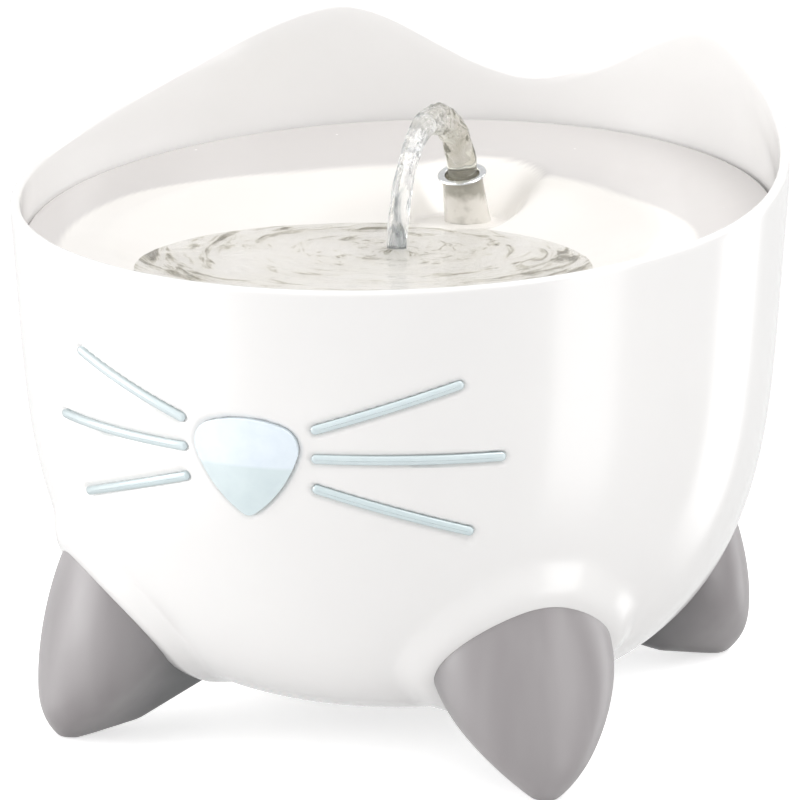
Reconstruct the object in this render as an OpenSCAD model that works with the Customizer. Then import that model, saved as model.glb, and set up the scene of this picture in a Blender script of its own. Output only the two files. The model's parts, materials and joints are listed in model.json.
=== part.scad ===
// Pet water fountain: a round bowl with two ear-shaped points on its rear wall, on four feet.
// A pump in the bowl lifts water through a riser to a nozzle in the tilted drinking dish.
// Origin on the floor under the bowl's axis, +Z up, the face with nose and whiskers looks to -Y.

/* [Bowl] */
// Outer radius of the bowl at its rim
rim_r = 113.5; // [105:0.5:125]
// Height of the rim at the two sides, without the ears
rim_z = 156.8; // [150:0.5:165]
// Rise of the rim for each mm towards the rear
rim_slope = 0.094; // [0.06:0.002:0.12]
// Wall thickness of the bowl
wall = 3; // [2.5:0.1:3.6]
// Height of the bowl's underside above the floor
bowl_base_z = 9.5; // [9:0.5:12]
// Draft of the wall, in mm of radius for each mm of height
draft = 0.059; // [0.04:0.001:0.07]
// Height where the straight wall turns into the rounded belly
belly_z = 119.6; // [105:0.5:125]
// Roundness of the belly, where 2 is an ellipse
belly_power = 2.984; // [2.6:0.01:3.4]

/* [Ears] */
// Height of an ear tip above the sloping rim
ear_h = 27.8; // [15:0.2:34]
// Angle of an ear tip from the rear
ear_angle = 31.5; // [26:0.5:38]
// Angle over which an ear falls towards the rear middle
ear_in_w = 20.7; // [16:0.1:24]
// Angle over which an ear falls towards the side
ear_out_w = 33.5; // [26:0.5:38]

/* [Feet] */
// Height of a foot, from the floor to the top of its seam
foot_h = 57.5; // [50:0.5:60]
// Greatest width of a foot
foot_w = 53; // [48:0.5:60]
// How far a front foot's outer side stays inside the rim's radius
foot_tuck = 1.2; // [-1:0.1:4]
// How much further out the rear feet stand
rear_reach = 3.8; // [0:0.1:5]
// Thickness of the raised pad on the bowl that a foot is fixed to
pad_t = 3; // [2:0.1:4]
// Margin of the pad around the foot
pad_margin = 1.4; // [0.5:0.1:2.5]
// Radius of the spigot that holds a foot in its pad
spigot_r = 8; // [6:0.5:10]
// Length of the spigot
spigot_len = 4; // [3:0.1:4.2]

/* [Face] */
// Width of the nose
nose_w = 30.4; // [24:0.2:36]
// Height of the nose
nose_h = 27.6; // [22:0.2:30]
// Height of the tip of the nose above the floor
nose_tip_z = 82.4; // [78:0.2:86]
// How far the nose stands out of the wall in the middle
nose_proud = 1.6; // [0.8:0.1:2.4]
// Width of a whisker
whisker_w = 2.8; // [2:0.1:3.6]
// How far a whisker stands out of the wall
whisker_proud = 0.5; // [0.2:0.1:1]
// Angle of the whiskers' inner ends from the front
whisker_in_angle = 10.3; // [9:0.1:12]
// Width of the sealing flange behind each window
window_flange = 0.6; // [0.3:0.1:0.6]
// Thickness of the sealing flange behind each window
window_flange_t = 1.2; // [0.8:0.1:1.8]

/* [Dish] */
// Gap between the dish's edge and the bowl's wall at the front
dish_gap = 0.4; // [0.35:0.05:1.5]
// Height of the dish's edge plane on the bowl's axis
dish_z = 146; // [142:0.5:150]
// Tilt of the dish towards the front
dish_tilt = 6.1; // [4:0.1:7]
// Thickness of the dish
dish_t = 2.5; // [2:0.1:3]
// Fall of the dish's flange for each mm inwards
flange_fall = 0.075; // [0.04:0.005:0.1]
// Distance of the basin's centre in front of the axis
basin_y = 27; // [22:0.5:32]
// How much smaller than the dish the basin's full radius is
basin_inset = 16.4; // [14:0.2:20]
// Height of the basin's floor above the surface it stands on
basin_z = 131.4; // [129:0.2:134]
// Depth of the basin at its full radius
basin_depth = 18.6; // [16:0.2:21]
// Number of drain slots in the front of the dish
drain_count = 5; // [3:2:7]
// Radius of each end of a drain slot
drain_r = 1.6; // [1.2:0.1:2]

/* [Nozzle] */
// Distance of the nozzle behind the axis
nozzle_y = 54; // [50:0.5:58]
// Height of the nozzle's seat, the floor of the niche around it
nozzle_seat_z = 134.6; // [133.6:0.1:135.4]
// Length of the nozzle's neck from its seat to the ring
nozzle_h = 15.4; // [12:0.1:16]
// Angle by which the neck leans towards the basin
nozzle_lean = 18; // [0:1:20]
// How far behind its spigot the neck's axis meets the seat
nozzle_back = 2.4; // [1:0.1:2.6]
// Outer radius of the nozzle's neck under the ring
nozzle_r = 6.2; // [5.8:0.1:6.6]
// Outer radius of the nozzle's foot
nozzle_foot_r = 7.6; // [7.2:0.1:8.4]
// Radius of the niche around the nozzle, at its floor
niche_r = 15; // [14.2:0.1:16]
// Radius of the nozzle's spigot in the dish
nozzle_spigot_r = 5; // [4.6:0.1:5.3]
// Radius of the water way through the nozzle
nozzle_bore_r = 3.6; // [3:0.1:4]
// Outer radius of the trim ring
ring_r = 7.5; // [7:0.1:9]
// Thickness of the trim ring
ring_t = 1.1; // [0.8:0.1:1.6]

/* [Filter] */
// Height of the ledges that carry the filter tray
tray_z = 108; // [104:0.5:110]
// Gap between the filter tray and the bowl's wall
tray_gap = 4.1; // [3:0.1:8]
// Thickness of the tray
tray_t = 2.2; // [1.8:0.1:3]
// Height of the tray's outer rim
tray_rim_h = 8; // [5:0.5:10]
// Distance of the filter well in front of the axis
well_y = 20; // [12:0.5:26]
// Outer radius of the filter well
well_r = 44; // [38:0.5:46]
// Depth of the filter well below the tray
well_depth = 17; // [14:0.5:20]
// Height of the filter cartridge
cartridge_h = 16; // [12:0.5:20]

/* [Pump] */
// Side of the square pump housing
pump_w = 40; // [38:0.5:42]
// Distance of the pump housing's middle behind the axis
pump_y = 39; // [38:0.5:40]
// Height of the platform under the pump
platform_z = 18; // [17:0.5:20]
// Height of the suction cups
cup_h = 5; // [4:0.2:6]
// Height of the motor housing
motor_h = 21; // [20:0.5:24]
// Height of the pump head above the motor housing
head_h = 14; // [13:0.5:16]
// Wall of the pump housing
pump_wall = 1.8; // [1.5:0.1:2.2]
// Distance of the impeller's axis in front of the outlet
impeller_off = 17; // [16.5:0.5:18]
// Radius of the impeller
impeller_r = 11; // [9:0.5:12]
// Number of impeller vanes
vane_count = 6; // [4:1:8]
// Radius of the rotor magnet
magnet_r = 6.5; // [5.5:0.1:7]
// Radius of the ceramic shaft
shaft_r = 1; // [0.8:0.05:1.2]
// Outer radius of the pump's outlet
outlet_r = 5; // [4.6:0.1:5.4]
// Wall of the riser tube
riser_wall = 1.4; // [1.2:0.1:1.8]
// Radius of the intake cover
intake_r = 10.5; // [9.5:0.1:11]

/* [Cable outlet] */
// Height of the cable outlet in the rear wall
cable_z = 128; // [124:0.5:134]
// Radius of the lip that the cable passes through
cable_hole_r = 1.9; // [1.5:0.1:2.4]
// Radius of the grommet's mouth outside the lip
grommet_mouth_r = 3; // [2.95:0.05:3.2]
// How far the lip stands inside the grommet's inner flange
lip_reach = 2.2; // [1.5:0.1:2.6]
// Radius of the grommet's neck
grommet_r = 4; // [3.4:0.1:5]

/* [Water] */
// Height of the water in the dish
water_z = 136; // [135.6:0.1:136.6]
// Radius of the jet as it leaves the nozzle
jet_r = 5; // [3:0.1:5.6]
// Radius of the jet where it bends over
jet_bend_r = 5; // [4:0.1:5.6]
// Radius of the falling stream
fall_r = 3.3; // [2.4:0.1:4]

/* [Fits] */
// Clearance of parts that lift off or are let into each other
fit_gap = 0.3; // [0.2:0.05:0.4]
// Radial clearance of turning parts
run_gap = 0.05; // [0.03:0.01:0.08]
// Clearance around windows and plugs that are pressed in
press_gap = 0.05; // [0.02:0.01:0.1]

/* [Hidden] */
$fn = 96;

white = [0.96, 0.96, 0.95];
grey = [0.62, 0.61, 0.62];
ice = [0.80, 0.89, 0.92];
silver = [0.78, 0.79, 0.80];
charcoal = [0.22, 0.23, 0.25];
clear_water = [0.80, 0.86, 0.86, 0.45];

eps = 0.01;
facets = 32;

// --- Bowl form -------------------------------------------------------------------------------
belly_apex_z = 7.2;
profile_steps = 26;
rim_steps = 120;
top_z = rim_z + rim_slope * rim_r + ear_h + 4;

// Outer radius of the bowl at height z
function bowl_r(z) = z >= rim_z ? rim_r
    : (rim_r - draft * (rim_z - z))
      * (1 - pow(max(0, (belly_z - z) / (belly_z - belly_apex_z)), belly_power)) ^ (1 / belly_power);

// Heights are packed closely near the base, where the belly turns most
function profile_z(i) = bowl_base_z + (rim_z - bowl_base_z) * pow(i / profile_steps, 2.2);
function wall_slope(z) = (bowl_r(z + 0.05) - bowl_r(max(bowl_base_z, z - 0.05)))
    / (z + 0.05 - max(bowl_base_z, z - 0.05));

// The bowl's profile moved out by d, square to its surface
function profile_point(z, d) = let (s = wall_slope(z), n = sqrt(1 + s * s))
    [bowl_r(z) + d / n, z - d * s / n];
function profile_points(d) = [for (i = [0:profile_steps]) profile_point(profile_z(i), d)];
function wall_r(z) = bowl_r(z) - wall;

module bowl_form(d, top) {
    inside = [for (p = profile_points(d)) if (p[0] > 1 && p[1] >= bowl_base_z - d) p];
    rotate_extrude()
        polygon(concat([[0, bowl_base_z - d]], [[inside[0][0], bowl_base_z - d]], inside,
            [[rim_r + d, top], [0, top]]));
}

// Height of the rim at an angle from the rear
function soft_angle(a) = sqrt(a * a + 16) - 1;
function ear_share(a) = a < ear_angle ? exp(-pow((ear_angle - a) / ear_in_w, 1.94))
    : exp(-pow((a - ear_angle) / ear_out_w, 1.57));
function rim_height(a) = rim_z + rim_slope * rim_r * cos(a)
    + ear_h * ear_share(soft_angle(abs(a)));

// Everything above the rim line, as one closed ring that is level along each radius
module above_rim() {
    r_in = rim_r - wall - 12;
    r_out = rim_r + 12;
    angles = [for (i = [0:rim_steps - 1]) -180 + i * 360 / rim_steps];
    ring = [for (a = angles) for (q = [[r_in, rim_height(a)], [r_out, rim_height(a)],
        [r_out, top_z + 20], [r_in, top_z + 20]]) [q[0] * sin(a), q[0] * cos(a), q[1]]];
    quads = [for (i = [0:rim_steps - 1]) for (k = [0:3])
        let (a = 4 * i, b = 4 * ((i + 1) % rim_steps), n = (k + 1) % 4)
        each [[a + k, b + k, b + n], [a + k, b + n, a + n]]];
    polyhedron(points = ring, faces = quads, convexity = 6);
}

// --- Feet --------------------------------------------------------------------------------------
foot_reach = rim_r - foot_tuck;
foot_wide_at = 0.62;
foot_curl = 5;
foot_levels = [0, 0.036, 0.09, 0.16, 0.26, 0.4, 0.55, 0.7, 0.83, 0.93, 1];
foot_angles = [45, 135];
spigot_fall = 40;
spigot_seat_z = 35;
spigot_overlap = 3;
// Balls that round a foot's inner side: distance inside its reach, height, radius
toe_ball = [27, 8.6, 6.4];
heel_ball = [51, 17.5, 4.5];
top_ball = [47, 40, 8];

function foot_half_w(s) = foot_w / 2 * (s < foot_wide_at
    ? 1 - 0.86 * pow(1 - s / foot_wide_at, 1.9)
    : sqrt(1 - pow((s - foot_wide_at) / (1.06 - foot_wide_at), 2)));
function foot_out(s, extra) = foot_reach + extra - (s < 0.232 ? foot_curl * pow(1 - s / 0.232, 2.5)
    : 10 * pow((s - 0.232) / 0.768, 1.6));

// Convex leg along +X, wider than the foot by m on every side
module leg_form(m, extra) {
    hull() {
        for (s = foot_levels) {
            w = foot_half_w(s) + m;
            d = 0.75 * foot_half_w(s) + 1.4 + m;
            translate([foot_out(s, extra) + m - d, 0, s * foot_h + (s == 1 ? m : 0)])
                scale([d, w, 1]) cylinder(r = 1, h = 0.05, $fn = facets);
        }
        translate([foot_reach + extra - toe_ball[0], 0, toe_ball[1]])
            sphere(r = toe_ball[2] + m, $fn = facets);
        for (ball = [heel_ball, top_ball])
            translate([foot_reach - ball[0], 0, ball[1]]) sphere(r = ball[2] + m, $fn = facets);
    }
}

// Places its child at the seat of a foot's spigot, +Z pointing out of the bowl
module at_spigot() {
    translate([bowl_r(spigot_seat_z), 0, spigot_seat_z]) rotate([0, 90 + spigot_fall, 0]) children();
}

module foot(turn, extra) {
    color(grey) rotate([0, 0, turn]) {
        difference() {
            leg_form(0, extra);
            bowl_form(pad_t, foot_h + 20);
        }
        difference() {
            at_spigot() translate([0, 0, pad_t - spigot_len])
                cylinder(r = spigot_r, h = spigot_len + spigot_overlap);
            bowl_form(pad_t - spigot_len, foot_h + 20);
        }
    }
}

module foot_pads() {
    intersection() {
        bowl_form(pad_t, foot_h + 20);
        union() {
            for (turn = foot_angles) for (side = [0, 1]) mirror([side, 0, 0])
                rotate([0, 0, turn - 90]) leg_form(pad_margin, turn < 90 ? 0 : rear_reach);
        }
    }
}

module foot_sockets() {
    for (turn = foot_angles) for (side = [0, 1]) mirror([side, 0, 0]) rotate([0, 0, turn - 90])
        at_spigot() translate([0, 0, pad_t - spigot_len - fit_gap])
            cylinder(r = spigot_r + press_gap, h = 3 * spigot_len);
}

// --- Face --------------------------------------------------------------------------------------
nose_corner_r = 0.23 * nose_w;
nose_tip_r = 0.16 * nose_w;

// Whiskers from the top down: heights of their inner and outer ends, and the outer ends' angles
upper = 0;
middle = 1;
lower = 2;
whisker_in_z = [107.9, 99.7, 91.1];
whisker_out_z = [120.6, 100.2, 79.2];
whisker_out_angle = [30.3, 36.5, 32.2];

function arc_points(c, r, a0, a1, n) =
    [for (i = [0:n]) let (a = a0 + (a1 - a0) * i / n) [c[0] + r * cos(a), c[1] + r * sin(a)]];

// Rounded triangle with its tip down and a slightly crowned top, larger by m
module nose_outline(m) {
    low = [0, nose_tip_z + nose_tip_r];
    high_z = nose_tip_z + nose_h - nose_corner_r - 1.2;
    x = nose_w / 2 - nose_corner_r;
    lean = atan2(high_z - low[1], x);
    polygon(concat(
        arc_points(low, nose_tip_r + m, 180 + lean + 12, 360 - lean - 12, 10),
        arc_points([x, high_z], nose_corner_r + m, -90 + lean - 12, 82, 14),
        [[0, nose_tip_z + nose_h + m]],
        arc_points([-x, high_z], nose_corner_r + m, 98, 270 - lean + 12, 14)));
}

module nose_cutter(m) {
    rotate([90, 0, 0]) linear_extrude(height = rim_r + 10) nose_outline(m);
}

// Straight bar with round ends, square to the wall half way along the whisker
module whisker_cutter(i, side, m) {
    mid = (whisker_in_angle + whisker_out_angle[i]) / 2;
    half = wall_r(whisker_in_z[i]) * sin((whisker_out_angle[i] - whisker_in_angle) / 2);
    rise = whisker_out_z[i] - whisker_in_z[i];
    length = sqrt(4 * half * half + rise * rise);
    lift = atan2(rise, 2 * half);
    r = whisker_w / 2 + m;
    mirror([side < 0 ? 1 : 0, 0, 0]) rotate([0, 0, mid]) translate([0, 0, whisker_in_z[i] + rise / 2])
        rotate([90, 0, 0]) rotate([0, 0, lift]) {
            translate([-length / 2, -r, 0]) cube([length, 2 * r, rim_r + 10]);
            for (end = [-1, 1]) translate([end * length / 2, 0, 0]) cylinder(r = r, h = rim_r + 10);
        }
}

// The skin of the bowl between two distances from its outer surface
module skin(inner, outer) {
    difference() {
        bowl_form(outer, rim_z);
        bowl_form(inner, rim_z + 1);
    }
}

module whisker_window(i, side) {
    color(ice) {
        intersection() {
            skin(-wall, whisker_proud);
            whisker_cutter(i, side, 0);
        }
        intersection() {
            skin(-wall - window_flange_t, -wall);
            whisker_cutter(i, side, window_flange);
        }
    }
}

module nose_window() {
    crown_r = 42;
    color(ice) {
        intersection() {
            difference() {
                union() {
                    skin(-wall, 0.4);
                    translate([0, -rim_r - nose_proud + crown_r + 4.3, nose_tip_z + 0.56 * nose_h])
                        sphere(r = crown_r);
                }
                bowl_form(-wall, rim_z + 1);
            }
            nose_cutter(0);
        }
        intersection() {
            skin(-wall - window_flange_t, -wall);
            nose_cutter(window_flange);
        }
    }
}

// --- Tilted dish -------------------------------------------------------------------------------
dish_front_z = dish_z - (rim_r - wall) * sin(dish_tilt);
dish_r = (wall_r(dish_front_z) - dish_gap) / cos(dish_tilt);
basin_r = dish_r - basin_inset;
basin_steps = 16;
basin_power = 4;
niche_flare = 0.7;
niche_ahead = 4;

module in_dish_plane() {
    translate([0, 0, dish_z]) rotate([dish_tilt, 0, 0]) children();
}

// Height of the basin's surface at a distance from its centre
function basin_height(r) = basin_z + basin_depth * pow(r / basin_r, basin_power);
function basin_fall(r) = basin_power * basin_depth / basin_r * pow(r / basin_r, basin_power - 1);
function basin_point(r, d) = let (s = basin_fall(r), n = sqrt(1 + s * s))
    [r + d * s / n, basin_height(r) - d / n];

// Everything inside the basin, its surface moved out by d
module basin_form(d) {
    limit = basin_r + 14;
    translate([0, -basin_y, 0]) rotate_extrude()
        polygon(concat(
            [for (i = [0:basin_steps]) let (r = limit * i / basin_steps)
                i == 0 ? [0, basin_z - d] : basin_point(r, d)],
            [[0, basin_point(limit, d)[1]]]));
}

// Body below the dish's flange, its surface lowered by d, out to radius r
module below_flange(d, r) {
    in_dish_plane() rotate_extrude()
        polygon([[0, -60], [r, -60], [r, -d - flange_fall * (dish_r - r)], [0, -d - flange_fall * dish_r]]);
}

collar_z = 113;
collar_wall = 2.2;
collar_bore_r = nozzle_spigot_r + fit_gap;
collar_r = collar_bore_r + collar_wall;
drain_ring_r = dish_r - 9;
drain_span = 62;
drain_slot_len = 15;

module drains() {
    step = drain_span / (drain_count - 1);
    in_dish_plane() for (i = [0:drain_count - 1]) rotate([0, 0, -drain_span / 2 + i * step])
        translate([0, -drain_ring_r, -12]) {
            translate([-drain_slot_len / 2, -drain_r, 0]) cube([drain_slot_len, 2 * drain_r, 24]);
            for (side = [-1, 1]) translate([side * drain_slot_len / 2, 0, 0]) cylinder(r = drain_r, h = 24);
        }
}

// Flared niche around the nozzle, its surface moved out by d
module niche_form(d) {
    h = 24;
    translate([0, nozzle_y - niche_ahead, nozzle_seat_z - d])
        cylinder(r1 = niche_r + d, r2 = niche_r + d + h * niche_flare, h = h);
}

module dish() {
    color(white) difference() {
        union() {
            difference() {
                intersection() {
                    below_flange(0, dish_r);
                    union() {
                        difference() {
                            below_flange(0, dish_r);
                            below_flange(dish_t, dish_r + 1);
                        }
                        basin_form(dish_t);
                        niche_form(dish_t);
                    }
                }
                basin_form(0);
                niche_form(0);
            }
            translate([0, nozzle_y, collar_z]) cylinder(r = collar_r, h = nozzle_seat_z - collar_z);
        }
        translate([0, nozzle_y, collar_z - 1]) cylinder(r = collar_bore_r, h = 60);
        drains();
    }
}

// --- Nozzle ------------------------------------------------------------------------------------
nozzle_spigot_len = 9;
neck_root = 4;
way_bend = 4;
way_start = 2.5;
seal_h = 2;
mouth_len = 6;
mouth_wall = 1;
seal_depth = 0.9;
seal_z = nozzle_seat_z - 6;

// Places its child on the leaning neck's axis, +Z towards the ring, 0 at the seat
module in_neck() {
    translate([0, nozzle_y + nozzle_back, nozzle_seat_z]) rotate([nozzle_lean, 0, 0]) children();
}

module nozzle() {
    color([0.93, 0.94, 0.93, 0.8]) difference() {
        union() {
            difference() {
                in_neck() translate([0, 0, -neck_root])
                    cylinder(r1 = nozzle_foot_r, r2 = nozzle_r, h = nozzle_h + neck_root);
                translate([-niche_r, nozzle_y - niche_r, nozzle_seat_z - 20])
                    cube([2 * niche_r, 3 * niche_r, 20]);
            }
            translate([0, nozzle_y, nozzle_seat_z - nozzle_spigot_len])
                cylinder(r = nozzle_spigot_r, h = nozzle_spigot_len + 1);
        }
        translate([0, nozzle_y, nozzle_seat_z - nozzle_spigot_len - 1])
            cylinder(r = nozzle_bore_r, h = nozzle_spigot_len + 1 + way_bend);
        in_neck() {
            translate([0, 0, way_start]) cylinder(r = nozzle_bore_r, h = nozzle_h);
            translate([0, 0, nozzle_h - mouth_len])
                cylinder(r1 = nozzle_bore_r, r2 = nozzle_r - mouth_wall, h = mouth_len + eps);
        }
        translate([0, nozzle_y, seal_z]) difference() {
            cylinder(r = nozzle_spigot_r + 2, h = seal_h);
            cylinder(r = nozzle_spigot_r - seal_depth, h = seal_h);
        }
    }
}

module nozzle_ring() {
    color(silver) in_neck() translate([0, 0, nozzle_h]) difference() {
        cylinder(r = ring_r, h = ring_t);
        translate([0, 0, -1]) cylinder(r = nozzle_r - mouth_wall, h = ring_t + 2);
    }
}

module nozzle_seal() {
    color(charcoal) translate([0, nozzle_y, seal_z + 0.1]) difference() {
        cylinder(r = nozzle_spigot_r + fit_gap - 0.05, h = seal_h - 0.2);
        translate([0, 0, -1]) cylinder(r = nozzle_spigot_r - seal_depth + 0.02, h = seal_h + 2);
    }
}

// --- Ledges in the bowl --------------------------------------------------------------------------
tray_r = wall_r(tray_z) - tray_gap;
rib_angles = [30, 90, 130];
rib_t = 3;
tray_rib_r = tray_r - 5;
dish_rib_r = tray_r + 1.4;
rib_foot_z = tray_z - 22;

// Each rib has a lower step for the tray and an upper step for the dish
module ribs() {
    intersection() {
        bowl_form(-eps, top_z);
        difference() {
            for (a = rib_angles) for (side = [0, 1]) mirror([side, 0, 0]) rotate([0, 0, -a])
                translate([-rib_t / 2, 0, 0]) rotate([90, 0, 90]) linear_extrude(height = rib_t)
                    polygon([[rim_r, rib_foot_z - 14], [tray_rib_r, rib_foot_z + 8], [tray_rib_r, tray_z],
                        [dish_rib_r, tray_z], [dish_rib_r, dish_z + 30], [rim_r, dish_z + 30]]);
            difference() {
                translate([0, 0, tray_z + 1]) cylinder(r = rim_r + 5, h = top_z - tray_z);
                below_flange(dish_t + fit_gap, rim_r + 8);
            }
        }
    }
}

// --- Cable outlet --------------------------------------------------------------------------------
grommet_flange_r = grommet_r + 2.6;
grommet_out_y = rim_r - 0.1;
grommet_in_y = wall_r(cable_z) - 1.6;
lip_t = 1.6;
lip_out_y = wall_r(cable_z - grommet_r) - 0.3;

module cable_hole() {
    grommet_round(rim_r - 14, grommet_r + press_gap, 30);
}

module grommet_round(y, r, h) {
    translate([0, y, cable_z]) rotate([-90, 0, 0]) cylinder(r = r, h = h);
}

module cable_grommet() {
    color(charcoal) difference() {
        union() {
            difference() {
                grommet_round(grommet_in_y, grommet_flange_r, grommet_out_y - grommet_in_y);
                skin(-wall - 0.02, 0.02);
            }
            grommet_round(grommet_in_y, grommet_r, grommet_out_y - grommet_in_y);
            grommet_round(grommet_in_y - lip_reach, cable_hole_r + lip_t, lip_reach + 1);
        }
        grommet_round(grommet_in_y - 10, cable_hole_r, 20);
        grommet_round(lip_out_y, grommet_mouth_r, 20);
    }
}

// --- Bowl ----------------------------------------------------------------------------------------
platform_r = 31;

module bowl() {
    color(white) difference() {
        union() {
            difference() {
                bowl_form(0, top_z);
                bowl_form(-wall, top_z + 1);
                above_rim();
            }
            difference() {
                foot_pads();
                bowl_form(-wall / 2, foot_h + 30);
            }
            ribs();
            intersection() {
                bowl_form(-eps, top_z);
                translate([0, pump_y, bowl_base_z + 1])
                    cylinder(r = platform_r, h = platform_z - bowl_base_z - 1);
            }
        }
        foot_sockets();
        nose_cutter(press_gap);
        for (side = [-1, 1]) for (i = [upper, middle, lower]) whisker_cutter(i, side, press_gap);
        cable_hole();
    }
}

// --- Filter --------------------------------------------------------------------------------------
tray_gap_z = tray_z + fit_gap;
well_wall = 2;
well_floor_z = tray_gap_z - well_depth;
well_in_r = well_r - well_wall;
tray_collar_r = collar_r + 3.5;
tray_collar_h = 10;
strainer_hole_r = 1.7;
strainer_rings = [8, 16, 24, 32];

module filter_tray() {
    color([0.90, 0.91, 0.91]) difference() {
        union() {
            translate([0, 0, tray_gap_z]) cylinder(r = tray_r, h = tray_t);
            translate([0, 0, tray_gap_z]) difference() {
                cylinder(r = tray_r, h = tray_rim_h);
                translate([0, 0, -1]) cylinder(r = tray_r - well_wall, h = tray_rim_h + 2);
            }
            translate([0, -well_y, well_floor_z]) cylinder(r = well_r, h = well_depth + tray_t);
            translate([0, nozzle_y, tray_gap_z]) cylinder(r = tray_collar_r, h = tray_collar_h);
        }
        translate([0, -well_y, well_floor_z + well_wall]) cylinder(r = well_in_r, h = well_depth + 20);
        translate([0, nozzle_y, tray_gap_z - 1]) cylinder(r = tray_collar_r - well_wall, h = 40);
        for (ring = strainer_rings) {
            holes = floor(2 * PI * ring / (4.2 * strainer_hole_r));
            for (i = [0:holes - 1]) translate([0, -well_y, 0]) rotate([0, 0, i * 360 / holes])
                translate([ring, 0, well_floor_z - 1]) cylinder(r = strainer_hole_r, h = well_wall + 2);
        }
    }
}

frame_r = well_in_r - fit_gap;
frame_wall = 1.6;
frame_z = well_floor_z + well_wall + fit_gap;
frame_hub_r = 7;
spoke_w = 2;
spoke_count = 6;

module frame_spokes(z, h) {
    translate([0, -well_y, z]) {
        for (i = [0:spoke_count / 2 - 1]) rotate([0, 0, i * 360 / spoke_count])
            translate([-frame_r + 0.5, -spoke_w / 2, 0]) cube([2 * frame_r - 1, spoke_w, h]);
        cylinder(r = frame_hub_r, h = h);
    }
}

module filter_frame() {
    color([0.35, 0.37, 0.40]) {
        translate([0, -well_y, frame_z]) difference() {
            cylinder(r = frame_r, h = cartridge_h);
            translate([0, 0, -1]) cylinder(r = frame_r - frame_wall, h = cartridge_h + 2);
        }
        frame_spokes(frame_z, frame_wall);
        frame_spokes(frame_z + cartridge_h - frame_wall, frame_wall);
    }
}

pad_r = frame_r - frame_wall - fit_gap;
pad_space = cartridge_h - 2 * frame_wall;
carbon_h = 0.4 * pad_space;

module filter_carbon_pad() {
    color([0.20, 0.20, 0.21]) translate([0, -well_y, frame_z + frame_wall + 0.1])
        cylinder(r = pad_r, h = carbon_h - 0.1);
}

module filter_foam() {
    color([0.86, 0.90, 0.94]) translate([0, -well_y, frame_z + frame_wall + carbon_h + 0.1])
        cylinder(r = pad_r, h = pad_space - carbon_h - 0.2);
}

// --- Pump ----------------------------------------------------------------------------------------
axis_y = nozzle_y - impeller_off;
plate_z = platform_z + cup_h;
plate_t = 2;
motor_z = plate_z + plate_t;
head_z = motor_z + motor_h - plate_t;
head_top_z = head_z + head_h;
corner_r = 7;
screw_off = pump_w / 2 - 5;
can_wall = 1;
can_r = magnet_r + 0.6 + can_wall;
can_floor_z = motor_z + 1;
chamber_r = impeller_r + 1.5;
chamber_h = 6.5;
eye_r = 4.5;

module rounded_block(z, h, w) {
    translate([0, pump_y, z]) {
        translate([-w / 2 + corner_r, -w / 2, 0]) cube([w - 2 * corner_r, w, h]);
        translate([-w / 2, -w / 2 + corner_r, 0]) cube([w, w - 2 * corner_r, h]);
        for (x = [-1, 1]) for (y = [-1, 1])
            translate([x * (w / 2 - corner_r), y * (w / 2 - corner_r), 0]) cylinder(r = corner_r, h = h);
    }
}

module at_corners(z) {
    for (x = [-1, 1]) for (y = [-1, 1]) translate([x * screw_off, pump_y + y * screw_off, z]) children();
}

led_z = motor_z + 9;
led_r = 3;
board_w = 10;
board_h = 13;
board_t = 0.6;
gland_z = motor_z + 10;
gland_r = 3.6;
front_y = pump_y - pump_w / 2;
rear_y = pump_y + pump_w / 2;

module motor_housing() {
    color(white) difference() {
        rounded_block(motor_z, motor_h - plate_t, pump_w);
        difference() {
            rounded_block(motor_z - 1, motor_h - plate_t - pump_wall + 1, pump_w - 2 * pump_wall);
            at_corners(motor_z - 2) cylinder(r = screw_boss_r, h = motor_h + 2);
            translate([0, axis_y, motor_z]) cylinder(r = can_r, h = motor_h);
        }
        translate([0, axis_y, can_floor_z + can_wall]) cylinder(r = can_r - can_wall, h = motor_h + 5);
        at_corners(motor_z + 6) cylinder(r = screw_r, h = motor_h + 4);
        at_corners(motor_z - 1) cylinder(r = cup_stud_r + press_gap, h = 4);
        translate([0, front_y - 1, led_z]) rotate([-90, 0, 0])
            cylinder(r = led_r + press_gap, h = pump_wall + 2);
        translate([0, rear_y + 1, gland_z]) rotate([90, 0, 0])
            cylinder(r = gland_r + press_gap, h = pump_wall + 2);
    }
}

screw_r = 1.1;
screw_boss_r = 3.2;
screw_head_r = 2.1;
screw_head_h = 1.5;
cup_stud_r = 1.6;
cup_r = 3.6;

module base_plate() {
    color([0.88, 0.89, 0.89]) difference() {
        rounded_block(plate_z, plate_t, pump_w);
        at_corners(plate_z - 1) cylinder(r = cup_stud_r + press_gap, h = plate_t + 2);
    }
}

module suction_cups() {
    color(charcoal) at_corners(0) {
        difference() {
            translate([0, 0, platform_z]) cylinder(r1 = cup_r, r2 = cup_r - 1.6, h = cup_h);
            translate([0, 0, platform_z - eps]) cylinder(r1 = cup_r - 1, r2 = 0.8, h = 1.8);
        }
        translate([0, 0, plate_z]) cylinder(r = cup_stud_r, h = plate_t + 2.6);
    }
}

stator_in_r = can_r + 0.15;
tooth_reach = 5.35;
stator_r = stator_in_r + tooth_reach;
stator_z = motor_z + 3;
stator_h = 10;
tooth_count = 4;
tooth_w = 4;
coil_gap = 0.1;

module stator_core() {
    color([0.45, 0.46, 0.48]) translate([0, axis_y, stator_z]) difference() {
        union() {
            difference() {
                cylinder(r = stator_r, h = stator_h);
                translate([0, 0, -1]) cylinder(r = stator_r - 1.6, h = stator_h + 2);
            }
            for (i = [0:tooth_count - 1]) rotate([0, 0, i * 360 / tooth_count])
                translate([0, -tooth_w / 2, 0]) cube([stator_r - 0.5, tooth_w, stator_h]);
        }
        translate([0, 0, -1]) cylinder(r = stator_in_r, h = stator_h + 2);
    }
}

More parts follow.
